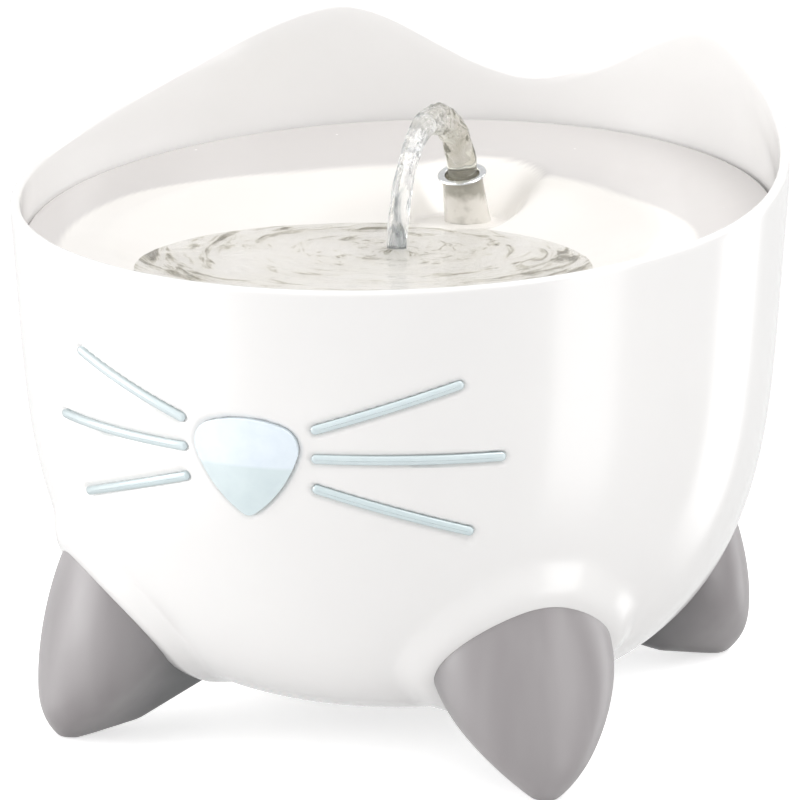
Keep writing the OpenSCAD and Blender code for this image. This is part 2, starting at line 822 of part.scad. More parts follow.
// One winding around each tooth of the stator
module stator_coils() {
    r0 = stator_in_r + 1;
    len = stator_r - 1.6 - r0 - 0.4;
    t = 0.9;
    color([0.72, 0.42, 0.20]) translate([0, axis_y, stator_z])
        for (i = [0:tooth_count - 1]) rotate([0, 0, i * 360 / tooth_count]) difference() {
            translate([r0, -tooth_w / 2 - t, -t]) cube([len, tooth_w + 2 * t, stator_h + 2 * t]);
            translate([r0 - 1, -tooth_w / 2 - coil_gap / 2, -coil_gap / 2])
                cube([len + 2, tooth_w + coil_gap, stator_h + coil_gap]);
        }
}

magnet_z = can_floor_z + can_wall + 1.5;
magnet_h = head_z - magnet_z - 1;
bush_r = 2.4;
bush_h = 1.3;
shaft_z = can_floor_z + can_wall + 0.1;
shaft_top_z = head_z + chamber_h + 0.6;

module rotor_magnet() {
    color([0.18, 0.18, 0.20]) translate([0, axis_y, magnet_z]) difference() {
        cylinder(r = magnet_r, h = magnet_h);
        translate([0, 0, -1]) cylinder(r = shaft_r + run_gap, h = magnet_h + 2);
    }
}

module impeller() {
    color([0.30, 0.45, 0.62]) translate([0, axis_y, magnet_z + magnet_h]) difference() {
        union() {
            cylinder(r = magnet_r, h = head_z - magnet_z - magnet_h + 0.8);
            translate([0, 0, head_z - magnet_z - magnet_h + 0.6]) cylinder(r = impeller_r, h = 0.8);
            translate([0, 0, head_z - magnet_z - magnet_h + 0.6]) cylinder(r = 2.4, h = 4.4);
            for (i = [0:vane_count - 1]) rotate([0, 0, i * 360 / vane_count])
                translate([1.6, -0.5, head_z - magnet_z - magnet_h + 1])
                    cube([impeller_r - 2, 1, 4]);
        }
        translate([0, 0, -1]) cylinder(r = shaft_r + run_gap, h = 20);
    }
}

module rotor_shaft() {
    color([0.93, 0.92, 0.88]) translate([0, axis_y, shaft_z])
        cylinder(r = shaft_r, h = shaft_top_z - shaft_z);
}

module shaft_bushes() {
    color(charcoal) for (z = [shaft_z, shaft_top_z - bush_h]) translate([0, axis_y, z]) difference() {
        cylinder(r = bush_r, h = bush_h);
        translate([0, 0, -1]) cylinder(r = shaft_r, h = bush_h + 2);
    }
}

outlet_len = 12;
outlet_bore_r = 3.4;
knob_z = head_z + 5;
knob_shaft_r = 1.5;
strut_t = 1.2;

module pump_head() {
    color(white) difference() {
        union() {
            rounded_block(head_z + 0.4, head_h - 0.4, pump_w);
            translate([0, nozzle_y, head_top_z]) cylinder(r = outlet_r, h = outlet_len);
            translate([0, axis_y, head_top_z]) cylinder(r = intake_collar_r, h = 2.5);
        }
        translate([0, axis_y, head_z - 1]) cylinder(r = chamber_r, h = chamber_h + 1);
        translate([0, axis_y, head_z - 1]) cylinder(r = eye_r, h = head_h + 12);
        translate([-outlet_bore_r, axis_y, head_z + 1])
            cube([2 * outlet_bore_r, impeller_off, chamber_h - 1]);
        translate([0, nozzle_y, head_z + 1]) cylinder(r = outlet_bore_r, h = head_h + outlet_len + 5);
        at_corners(head_z - 1) cylinder(r = screw_r + 0.15, h = head_h + 4);
        at_corners(head_top_z - screw_head_h - 0.3) cylinder(r = screw_head_r + 0.2, h = screw_head_h + 2);
        translate([0, front_y - 1, knob_z]) rotate([-90, 0, 0])
            cylinder(r = knob_shaft_r + run_gap, h = 5);
        translate([0, axis_y, head_z - 1]) difference() {
            cylinder(r = chamber_r + 1.9, h = 2.4);
            cylinder(r = chamber_r + 0.7, h = 2.4);
        }
    }
    // Three struts in the eye carry the upper shaft bush
    color(white) translate([0, axis_y, shaft_top_z - bush_h]) difference() {
        union() {
            cylinder(r = bush_r + 1.1, h = bush_h + 1);
            for (i = [0:2]) rotate([0, 0, 90 + i * 120]) translate([0, -strut_t / 2, 0])
                cube([eye_r + 0.8, strut_t, bush_h + 1]);
        }
        translate([0, 0, -1]) cylinder(r = bush_r + press_gap, h = bush_h + 1);
    }
}

module head_seal() {
    color(charcoal) translate([0, axis_y, head_z + 0.05]) difference() {
        cylinder(r = chamber_r + 1.8, h = 1.3);
        translate([0, 0, -1]) cylinder(r = chamber_r + 0.8, h = 4);
    }
}

module head_screws() {
    color(silver) at_corners(0) difference() {
        union() {
            translate([0, 0, motor_z + 8]) cylinder(r = screw_r - 0.02, h = head_top_z - motor_z - 8 - 0.6);
            translate([0, 0, head_top_z - screw_head_h - 0.25]) cylinder(r = screw_head_r, h = screw_head_h);
        }
        translate([0, 0, head_top_z - 1.1]) {
            translate([-1.5, -0.3, 0]) cube([3, 0.6, 2]);
            translate([-0.3, -1.5, 0]) cube([0.6, 3, 2]);
        }
    }
}

intake_collar_r = eye_r + 1.6;
intake_h = 9;
intake_wall = 1.2;
intake_slots = 10;

module intake_cover() {
    color([0.88, 0.89, 0.89]) translate([0, axis_y, head_top_z + 0.1]) difference() {
        cylinder(r = intake_r, h = intake_h);
        translate([0, 0, -1]) cylinder(r = intake_collar_r + press_gap, h = 3.6);
        translate([0, 0, 2.5]) cylinder(r = intake_r - intake_wall, h = intake_h - 2.5 - intake_wall);
        for (i = [0:intake_slots - 1]) rotate([0, 0, i * 360 / intake_slots])
            translate([intake_r - 2.4, -0.8, 3]) cube([4, 1.6, intake_h - 4.6]);
        for (i = [0:5]) rotate([0, 0, i * 60]) translate([5, 0, intake_h - 3]) cylinder(r = 1, h = 5);
    }
}

module intake_foam() {
    color([0.22, 0.24, 0.27]) translate([0, axis_y, head_top_z + 2.9]) difference() {
        cylinder(r = intake_r - intake_wall - 0.1, h = 4.4);
        translate([0, 0, -1]) cylinder(r = eye_r, h = 8);
    }
}

knob_r = 5;
knob_t = 3;

module flow_knob() {
    color(grey) translate([0, front_y - 0.1, knob_z]) rotate([90, 0, 0]) {
        difference() {
            cylinder(r = knob_r, h = knob_t);
            for (side = [-1, 1]) translate([-knob_r, side > 0 ? 0.7 : -4.7, 1.2]) cube([2 * knob_r, 4, 4]);
        }
        translate([0, 0, -3.8]) cylinder(r = knob_shaft_r, h = 4);
    }
}

module led_lens() {
    color([0.85, 0.93, 0.96, 0.7]) translate([0, front_y + pump_wall, led_z]) rotate([90, 0, 0]) {
        cylinder(r = led_r, h = pump_wall);
        translate([0, 0, pump_wall]) cylinder(r1 = led_r, r2 = led_r - 1, h = 1);
        translate([0, 0, -0.8]) cylinder(r = led_r + 0.8, h = 0.8);
    }
}

module led_board() {
    color([0.10, 0.40, 0.22]) translate([-board_w / 2, front_y + pump_wall + 0.85, motor_z + 1.5])
        cube([board_w, board_t, board_h]);
}

module cable_gland() {
    color(charcoal) translate([0, rear_y - pump_wall, gland_z]) rotate([-90, 0, 0]) difference() {
        union() {
            cylinder(r = gland_r, h = pump_wall + 0.1);
            translate([0, 0, pump_wall]) cylinder(r = gland_r + 1, h = 1.4);
            translate([0, 0, pump_wall + 1.4]) cylinder(r1 = gland_r - 0.2, r2 = cable_hole_r + 0.7, h = 9);
        }
        translate([0, 0, -1]) cylinder(r = cable_hole_r, h = 20);
    }
}

riser_r = outlet_r + riser_wall;
riser_z = head_top_z + 0.4;
riser_top_z = collar_z - 1;
riser_neck_r = nozzle_bore_r + riser_wall - 0.5;

// Tube pushed over the pump's outlet, its narrow neck reaching up into the dish's collar
module riser_tube() {
    color([0.90, 0.93, 0.94, 0.7]) translate([0, nozzle_y, 0]) difference() {
        union() {
            translate([0, 0, riser_z]) cylinder(r = riser_r, h = riser_top_z - riser_z);
            translate([0, 0, riser_top_z - 1]) cylinder(r = riser_neck_r, h = neck_len + 1);
        }
        translate([0, 0, riser_z - 1]) cylinder(r = outlet_r + press_gap, h = outlet_len + 1.2);
        translate([0, 0, riser_z]) cylinder(r = outlet_bore_r, h = 120);
    }
}

neck_len = nozzle_seat_z - nozzle_spigot_len - riser_top_z - 1.2;

module riser_seal() {
    color(charcoal) translate([0, nozzle_y, riser_top_z + 4]) difference() {
        cylinder(r = collar_bore_r - 0.05, h = 2);
        translate([0, 0, -1]) cylinder(r = riser_neck_r, h = 4);
    }
}

// --- Water ---------------------------------------------------------------------------------------
jet_steps = 22;
jet_sides = 16;
mouth_h = nozzle_h + ring_t + 0.1;
jet_start = [nozzle_y + nozzle_back - mouth_h * sin(nozzle_lean),
    nozzle_seat_z + mouth_h * cos(nozzle_lean)];
jet_rise = [nozzle_y - 4, 175.5];
jet_reach = [5, 186.5];
jet_land = [-1.5, water_z + 0.5];

module water_pool() {
    color(clear_water) difference() {
        intersection() {
            translate([0, 0, basin_z - 6]) cylinder(r = rim_r, h = water_z - basin_z + 6);
            in_dish_plane() translate([0, 0, -60]) cylinder(r = drain_ring_r - drain_r - 2, h = 90);
        }
        difference() {
            below_flange(0, dish_r + 5);
            basin_form(0);
            niche_form(0);
        }
        translate([0, nozzle_y + nozzle_back, basin_z - 10])
            cylinder(r = (nozzle_foot_r + fit_gap) / cos(nozzle_lean), h = 30);
    }
}

function bezier(t, a, b, c, d) = pow(1 - t, 3) * a + 3 * t * pow(1 - t, 2) * b
    + 3 * t * t * (1 - t) * c + pow(t, 3) * d;
function bezier_dir(t, a, b, c, d) = pow(1 - t, 2) * (b - a) + 2 * t * (1 - t) * (c - b) + t * t * (d - c);
function jet_width(t) = t < 0.12 ? jet_r + (jet_bend_r - jet_r) * t / 0.12
    : t < 0.45 ? jet_bend_r : jet_bend_r + (fall_r - jet_bend_r) * min(1, (t - 0.45) / 0.3);

module water_stream() {
    rings = [for (i = [0:jet_steps]) let (t = i / jet_steps,
        c = bezier(t, jet_start, jet_rise, jet_reach, jet_land),
        v = bezier_dir(t, jet_start, jet_rise, jet_reach, jet_land),
        n = [-v[1], v[0]] / norm(v))
        for (k = [0:jet_sides - 1]) let (a = k * 360 / jet_sides, w = jet_width(t))
            [w * sin(a), c[0] + w * cos(a) * n[0], c[1] + w * cos(a) * n[1]]];
    sides = [for (i = [0:jet_steps - 1]) for (k = [0:jet_sides - 1])
        let (n = (k + 1) % jet_sides, a = i * jet_sides)
        each [[a + k, a + n, a + jet_sides + n], [a + k, a + jet_sides + n, a + jet_sides + k]]];
    color(clear_water) polyhedron(points = rings, faces = concat(
        [[for (k = [0:jet_sides - 1]) jet_sides - 1 - k]], sides,
        [[for (k = [0:jet_sides - 1]) jet_steps * jet_sides + k]]), convexity = 4);
}

bowl();
foot(-135, 0);  // foot_front_left
foot(-45, 0);  // foot_front_right
foot(135, rear_reach);  // foot_rear_left
foot(45, rear_reach);  // foot_rear_right
nose_window();
whisker_window(upper, -1);  // whisker_upper_left
whisker_window(middle, -1);  // whisker_middle_left
whisker_window(lower, -1);  // whisker_lower_left
whisker_window(upper, 1);  // whisker_upper_right
whisker_window(middle, 1);  // whisker_middle_right
whisker_window(lower, 1);  // whisker_lower_right
cable_grommet();
dish();
nozzle();
nozzle_ring();
nozzle_seal();
filter_tray();
filter_frame();
filter_foam();
filter_carbon_pad();
motor_housing();
base_plate();
suction_cups();
stator_core();
stator_coils();
pump_head();
head_seal();
head_screws();
impeller();
rotor_magnet();
rotor_shaft();
shaft_bushes();
intake_cover();
intake_foam();
flow_knob();
led_lens();
led_board();
cable_gland();
riser_tube();
riser_seal();
water_pool();
water_stream();
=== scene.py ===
"""Looks of the pet water fountain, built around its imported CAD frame.

Sizes are in millimetres, as in the CAD source, and become metres where a mesh is made.
Z points up and the face with nose and whiskers looks to -Y. Angles are in degrees.
"""

import json
import math

import bmesh
import bpy
import numpy as np
from mathutils import Matrix, Vector, noise
from mathutils.bvhtree import BVHTree


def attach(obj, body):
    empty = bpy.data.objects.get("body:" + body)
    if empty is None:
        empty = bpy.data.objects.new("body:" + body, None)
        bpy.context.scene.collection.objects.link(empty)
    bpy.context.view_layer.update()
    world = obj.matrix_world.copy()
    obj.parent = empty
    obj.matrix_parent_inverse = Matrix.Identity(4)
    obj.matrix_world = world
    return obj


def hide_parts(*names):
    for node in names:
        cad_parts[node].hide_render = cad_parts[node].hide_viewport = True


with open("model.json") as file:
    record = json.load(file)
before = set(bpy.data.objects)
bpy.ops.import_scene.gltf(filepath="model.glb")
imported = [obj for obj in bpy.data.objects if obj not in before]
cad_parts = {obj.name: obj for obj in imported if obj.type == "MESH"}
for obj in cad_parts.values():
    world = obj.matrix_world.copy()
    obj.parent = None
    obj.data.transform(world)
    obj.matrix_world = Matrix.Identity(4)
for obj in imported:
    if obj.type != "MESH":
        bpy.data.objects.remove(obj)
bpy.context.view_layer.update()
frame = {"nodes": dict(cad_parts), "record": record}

MM = 0.001

# --- Driving sizes, as in the CAD source -------------------
RIM_R, RIM_Z, RIM_SLOPE, WALL = 113.5, 156.8, 0.094, 3.0
BASE_Z, DRAFT, BELLY_Z, BELLY_APEX_Z, BELLY_POWER = 9.5, 0.059, 119.6, 7.2, 2.984
EAR_H, EAR_ANGLE, EAR_IN_W, EAR_OUT_W = 27.8, 31.5, 20.7, 33.5
FOOT_H, FOOT_W, FOOT_REACH, REAR_REACH, FOOT_WIDE_AT = 57.5, 53.0, 112.3, 3.8, 0.62
FOOT_TOE_AT, FOOT_TOE_IN, FOOT_TOP_IN = 0.232, 5.0, 10.0
PAD_T, PAD_BLEND = 3.0, 11.0
NOSE_W, NOSE_H, NOSE_TIP_Z, NOSE_PROUD = 30.4, 27.6, 82.4, 1.6
WHISKER_W, WHISKER_PROUD, WHISKER_IN = 2.8, 0.5, 10.3
WHISKERS = {"upper": (107.9, 30.3, 120.6), "middle": (99.7, 36.5, 100.2), "lower": (91.1, 32.2, 79.2)}
DISH_R, DISH_Z, DISH_TILT, DISH_T, FLANGE_FALL = 109.4, 146.0, 6.1, 2.5, 0.075
BASIN_Y, BASIN_R, BASIN_Z, BASIN_DEPTH, BASIN_POWER = 27.0, 93.0, 131.4, 18.6, 4
NOZZLE_Y, SEAT_Z, NOZZLE_H, NOZZLE_R, NOZZLE_FOOT_R = 54.0, 134.6, 15.4, 6.2, 7.6
NICHE_R, NICHE_FLARE, NICHE_AHEAD, NOZZLE_LEAN, NOZZLE_BACK = 15.0, 0.7, 4.0, 18.0, 2.4
RING_R, RING_T, WATER_Z = 7.5, 1.1, 136.0
DRAIN_COUNT, DRAIN_R, DRAIN_SPAN, DRAIN_LEN = 5, 1.6, 62.0, 15.0
COLLAR_Z, COLLAR_BORE_R, COLLAR_R = 113.0, 5.3, 7.5
CABLE_Z, CABLE_HOLE_R = 128.0, 4.1


# --- Mesh helpers ------------------------------------------
def scene_object(name, data):
    obj = bpy.data.objects.new(name, data)
    bpy.context.scene.collection.objects.link(obj)
    return obj


def sharp_from_angle(mesh, degrees):
    """Smooth shading everywhere, apart from edges that bend more than this."""
    mesh.polygons.foreach_set("use_smooth", [True] * len(mesh.polygons))
    mesh.set_sharp_from_angle(angle=math.radians(degrees))
    mesh.update()


def new_mesh(name, verts, faces, sharp=40):
    """A mesh object from points in millimetres."""
    mesh = bpy.data.meshes.new(name)
    mesh.from_pydata([tuple(MM * c for c in v) for v in verts], [], [tuple(f) for f in faces])
    mesh.validate()
    sharp_from_angle(mesh, sharp)
    return scene_object(name, mesh)


def fix_normals(obj, sharp=40):
    bm = bmesh.new()
    bm.from_mesh(obj.data)
    bmesh.ops.remove_doubles(bm, verts=bm.verts, dist=1e-7)
    bmesh.ops.recalc_face_normals(bm, faces=bm.faces)
    bm.to_mesh(obj.data)
    bm.free()
    sharp_from_angle(obj.data, sharp)
    return obj


def grid_object(name, rows, wrap=True, caps=(True, True), sharp=40):
    """A skin over rows of points, each row a list of the same length; caps close its first and last row."""
    count = len(rows[0])
    verts = [p for row in rows for p in row]
    faces = []
    for i in range(len(rows) - 1):
        for k in range(count if wrap else count - 1):
            n = (k + 1) % count
            faces.append((i * count + k, i * count + n, (i + 1) * count + n, (i + 1) * count + k))
    for row, wanted in ((0, caps[0]), (len(rows) - 1, caps[1])):
        if wanted:
            verts.append(tuple(np.mean(rows[row], axis=0)))
            centre = len(verts) - 1
            for k in range(count):
                faces.append((row * count + k, row * count + (k + 1) % count, centre))
    return fix_normals(new_mesh(name, verts, faces, sharp), sharp)


def revolve(name, profile, centre=(0.0, 0.0), count=96, caps=(False, False), closed=False, sharp=40):
    """A body of revolution about a vertical axis through centre; profile is a list of (radius, height)."""
    points = list(profile) + ([profile[0]] if closed else [])
    angles = [2 * math.pi * k / count for k in range(count)]
    cx, cy = centre
    rows = [[(cx + r * math.cos(a), cy + r * math.sin(a), z) for a in angles] for r, z in points]
    return grid_object(name, rows, caps=caps, sharp=sharp)


def arc(centre, r, a0, a1, steps):
    return [
        (centre[0] + r * math.cos(math.radians(a0 + (a1 - a0) * i / steps)),
         centre[1] + r * math.sin(math.radians(a0 + (a1 - a0) * i / steps)))
        for i in range(steps + 1)
    ]


def prism(name, outline, depth):
    """A plate with this outline in X and Y, from Z 0 to depth."""
    low = [(x, y, 0.0) for x, y in outline]
    high = [(x, y, depth) for x, y in outline]
    return grid_object(name, [low, high])


def placed(obj, matrix):
    obj.data.transform(matrix)
    obj.data.update()
    return obj


def joined(name, objs):
    """One object made of several, none of which is kept."""
    bm = bmesh.new()
    for o in objs:
        bm.from_mesh(o.data)
    mesh = bpy.data.meshes.new(name)
    bm.to_mesh(mesh)
    bm.free()
    for o in objs:
        bpy.data.objects.remove(o)
    sharp_from_angle(mesh, 40)
    return scene_object(name, mesh)


def apply_modifiers(obj, sharp=40):
    bpy.context.view_layer.update()
    graph = bpy.context.evaluated_depsgraph_get()
    mesh = bpy.data.meshes.new_from_object(obj.evaluated_get(graph))
    obj.modifiers.clear()
    obj.data = mesh
    sharp_from_angle(mesh, sharp)
    return obj


def cut(obj, cutter, sharp=40):
    """obj without the space that cutter takes."""
    mod = obj.modifiers.new("cut", "BOOLEAN")
    mod.operation, mod.solver, mod.object = "DIFFERENCE", "EXACT", cutter
    apply_modifiers(obj, sharp)
    bpy.data.objects.remove(cutter)
    return obj


def point_values(obj, name, values):
    """One number for each point of the mesh, which a material reads by this name."""
    obj.data.attributes.new(name, "FLOAT", "POINT").data.foreach_set("value", values)


def smooth_step(t):
    t = min(1.0, max(0.0, t))
    return t * t * (3 - 2 * t)


def soft_min(a, b, k):
    h = max(k - abs(a - b), 0.0) / k
    return min(a, b) - h * h * k / 4


# --- Bowl form ---------------------------------------------
def bowl_r(z):
    if z >= RIM_Z:
        return RIM_R
    u = max(0.0, (BELLY_Z - z) / (BELLY_Z - BELLY_APEX_Z))
    return (RIM_R - DRAFT * (RIM_Z - z)) * (1 - u**BELLY_POWER) ** (1 / BELLY_POWER)


def wall_normal(z):
    """Direction square to the wall, as (outwards, upwards)."""
    low = max(BASE_Z, z - 0.05)
    slope = (bowl_r(z + 0.05) - bowl_r(low)) / (z + 0.05 - low)
    n = math.hypot(1, slope)
    return 1 / n, -slope / n


def rim_height(a):
    """Height of the rim at an angle from the rear."""
    soft = math.sqrt(a * a + 16) - 1
    if soft < EAR_ANGLE:
        share = math.exp(-(((EAR_ANGLE - soft) / EAR_IN_W) ** 1.94))
    else:
        share = math.exp(-(((soft - EAR_ANGLE) / EAR_OUT_W) ** 1.57))
    return RIM_Z + RIM_SLOPE * RIM_R * math.cos(math.radians(a)) + EAR_H * share


def polar(r, a, z):
    """A point at radius r and at angle a from the rear, positive towards +X."""
    return (r * math.sin(math.radians(a)), r * math.cos(math.radians(a)), z)


# --- Feet --------------------------------------------------
def foot_half_w(s):
    """Half the width at a share of the height."""
    if s < FOOT_WIDE_AT:
        return FOOT_W / 2 * (1 - 0.86 * (1 - s / FOOT_WIDE_AT) ** 1.9)
    return FOOT_W / 2 * math.sqrt(1 - ((s - FOOT_WIDE_AT) / (1.06 - FOOT_WIDE_AT)) ** 2)


def foot_out(s, extra):
    """How far the outer face stands from the axis at a share of the height."""
    if s < FOOT_TOE_AT:
        return FOOT_REACH + extra - FOOT_TOE_IN * (1 - s / FOOT_TOE_AT) ** 2.5
    return FOOT_REACH + extra - FOOT_TOP_IN * ((s - FOOT_TOE_AT) / (1 - FOOT_TOE_AT)) ** 1.6


def ball_points(centre, r, count=260):
    golden = math.pi * (3 - math.sqrt(5))
    points = []
    for i in range(count):
        z = 1 - 2 * (i + 0.5) / count
        w = math.sqrt(1 - z * z)
        points.append((centre[0] + r * w * math.cos(golden * i), centre[1] + r * w * math.sin(golden * i),
                       centre[2] + r * z))
    return points


def leg_mesh(extra):
    """Convex leg along +X as a bmesh, in millimetres."""
    bm = bmesh.new()
    points = []
    levels, sides = 44, 80
    for i in range(levels + 1):
        s = (i / levels) ** 1.25
        w = foot_half_w(s)
        d = 0.75 * w + 1.4
        for k in range(sides):
            a = 2 * math.pi * k / sides
            points.append((foot_out(s, extra) - d + d * math.cos(a), w * math.sin(a), s * FOOT_H))
    points += ball_points((FOOT_REACH + extra - 27, 0, 8.6), 6.4)
    points += ball_points((FOOT_REACH - 51, 0, 17.5), 4.5)
    points += ball_points((FOOT_REACH - 47, 0, 40), 8.0)
    for p in points:
        bm.verts.new(p)
    result = bmesh.ops.convex_hull(bm, input=bm.verts)
    inside = [g for g in result["geom_interior"] + result["geom_unused"] if isinstance(g, bmesh.types.BMVert)]
    bmesh.ops.delete(bm, geom=list(set(inside)), context="VERTS")
    bmesh.ops.recalc_face_normals(bm, faces=bm.faces)
    return bm


legs = {extra: leg_mesh(extra) for extra in (0.0, REAR_REACH)}
leg_trees = {extra: BVHTree.FromBMesh(bm) for extra, bm in legs.items()}


def leg_distance(x, y, z):
    """Distance of a point from the nearest leg's form, negative inside."""
    extra = REAR_REACH if y > 0 else 0.0
    radial = (abs(x) + abs(y)) / math.sqrt(2)
    across = (abs(x) - abs(y)) / math.sqrt(2)
    point = Vector((radial, across, z))
    near, normal, _, dist = leg_trees[extra].find_nearest(point)
    return -dist if (point - near).dot(normal) < 0 else dist


def pad_bump(x, y, z):
    """How far the raised pad around a foot stands out of the wall."""
    if z > FOOT_H + PAD_BLEND + 4:
        return 0.0
    fade = smooth_step((z - BASE_Z) / 7)
    return fade * PAD_T * smooth_step(1 - (leg_distance(x, y, z) - 0.5) / PAD_BLEND)


# --- Windows -----------------------------------------------
def direction(a, b):
    return math.degrees(math.atan2(b[1] - a[1], b[0] - a[0]))


def nose_outline():
    """Rounded triangle with its tip down, of seven arcs that run smoothly into each other."""
    tip_r, corner_r, side_r, top_r = 0.105 * NOSE_W, 0.214 * NOSE_W, 1.18 * NOSE_W, 1.12 * NOSE_W
    x = NOSE_W / 2 - corner_r
    top = (0.0, NOSE_TIP_Z + NOSE_H - top_r)
    corner = (x, top[1] + math.sqrt((top_r - corner_r) ** 2 - x * x))
    tip = (0.0, NOSE_TIP_Z + tip_r)
    reach = math.dist(tip, corner)
    along = ((side_r - tip_r) ** 2 - (side_r - corner_r) ** 2 + reach**2) / (2 * reach)
    across = math.sqrt((side_r - tip_r) ** 2 - along**2)
    ux, uz = (corner[0] - tip[0]) / reach, (corner[1] - tip[1]) / reach
    side = (tip[0] + ux * along - uz * across, tip[1] + uz * along + ux * across)
    low, high = direction(side, tip), direction(side, corner)
    half = arc(tip, tip_r, -90, low, 6)[:-1] + arc(side, side_r, low, high, 14)[:-1]
    half += arc(corner, corner_r, high, direction(top, corner), 10)[:-1]
    half += arc(top, top_r, direction(top, corner), 90, 8)
    return half + [(-px, pz) for px, pz in reversed(half[1:-1])]


NOSE = nose_outline()
NOSE_CENTRE = (0.0, NOSE_TIP_Z + 0.6 * NOSE_H)


def outline_distance(p, outline):
    """Distance of a point from a closed outline, negative inside."""
    best, inside = 1e9, False
    for i, a in enumerate(outline):
        b = outline[(i + 1) % len(outline)]
        dx, dy = b[0] - a[0], b[1] - a[1]
        length2 = dx * dx + dy * dy
        t = 0 if length2 < 1e-12 else max(0, min(1, ((p[0] - a[0]) * dx + (p[1] - a[1]) * dy) / length2))
        best = min(best, math.hypot(p[0] - a[0] - t * dx, p[1] - a[1] - t * dy))
        if (a[1] > p[1]) != (b[1] > p[1]) and p[0] < a[0] + (p[1] - a[1]) * dx / dy:
            inside = not inside
    return -best if inside else best


FACE_R = bowl_r(100.0)


def whisker_ends(key):
    """Both ends as (distance around a round face of radius FACE_R, height)."""
    z0, angle, z1 = WHISKERS[key]
    return (math.radians(WHISKER_IN) * FACE_R, z0), (math.radians(angle) * FACE_R, z1)


def bar_distance(p, ends, half):
    (x0, z0), (x1, z1) = ends
    dx, dz = x1 - x0, z1 - z0
    t = max(0, min(1, ((p[0] - x0) * dx + (p[1] - z0) * dz) / (dx * dx + dz * dz)))
    return math.hypot(p[0] - x0 - t * dx, p[1] - z0 - t * dz) - half


RECESS = 1.1


def window_recess(front_angle, z):
    """How deep the wall is set back for a window at this place; front_angle is from the front."""
    if not (NOSE_TIP_Z - 8 < z < 126 and abs(front_angle) < 40):
        return 0.0
    p = (math.radians(front_angle) * FACE_R, z)
    nose_x = bowl_r(z) * math.sin(math.radians(front_angle))
    d = outline_distance((nose_x, z), NOSE) if abs(nose_x) < NOSE_W / 2 + 3 else 9.0
    for key in WHISKERS:
        d = min(d, bar_distance((abs(p[0]), z), whisker_ends(key), WHISKER_W / 2))
    return RECESS * smooth_step((0.75 - d) / 0.9)


# --- Dish form ---------------------------------------------
TILT = math.tan(math.radians(DISH_TILT))
COS_TILT = math.cos(math.radians(DISH_TILT))


def dish_forms(x, y):
    """Heights of the flange, the basin and the niche at this place."""
    r = math.hypot(x, y / COS_TILT)
    flange = DISH_Z + y * TILT - FLANGE_FALL * (DISH_R - r)
    basin = BASIN_Z + BASIN_DEPTH * (math.hypot(x, y + BASIN_Y) / BASIN_R) ** BASIN_POWER
    across = math.hypot(x, y - NOZZLE_Y + NICHE_AHEAD)
    return flange, basin, SEAT_Z + max(0.0, across - NICHE_R) / NICHE_FLARE


def dish_top(x, y):
    """Height of the dish's upper surface."""
    flange, basin, niche = dish_forms(x, y)
    return soft_min(soft_min(flange, basin, 1.2), niche, 4.5)


# --- Materials ---------------------------------------------
def math_out(tree, operation, *values, clamp=False):
    """Output of a Math node; each value is a number or the output of another node."""
    n = tree.nodes.new("ShaderNodeMath")
    n.operation, n.use_clamp = operation, clamp
    for socket, value in zip(n.inputs, values):
        if isinstance(value, (int, float)):
            socket.default_value = value
        else:
            tree.links.new(value, socket)
    return n.outputs[0]


def fill_ramp(ramp, stops):
    first, last = ramp.elements[0], ramp.elements[-1]
    first.position, last.position = stops[0][0], stops[-1][0]
    first.color, last.color = (*stops[0][1], 1.0), (*stops[-1][1], 1.0)
    for place, color in stops[1:-1]:
        ramp.elements.new(place).color = (*color, 1.0)


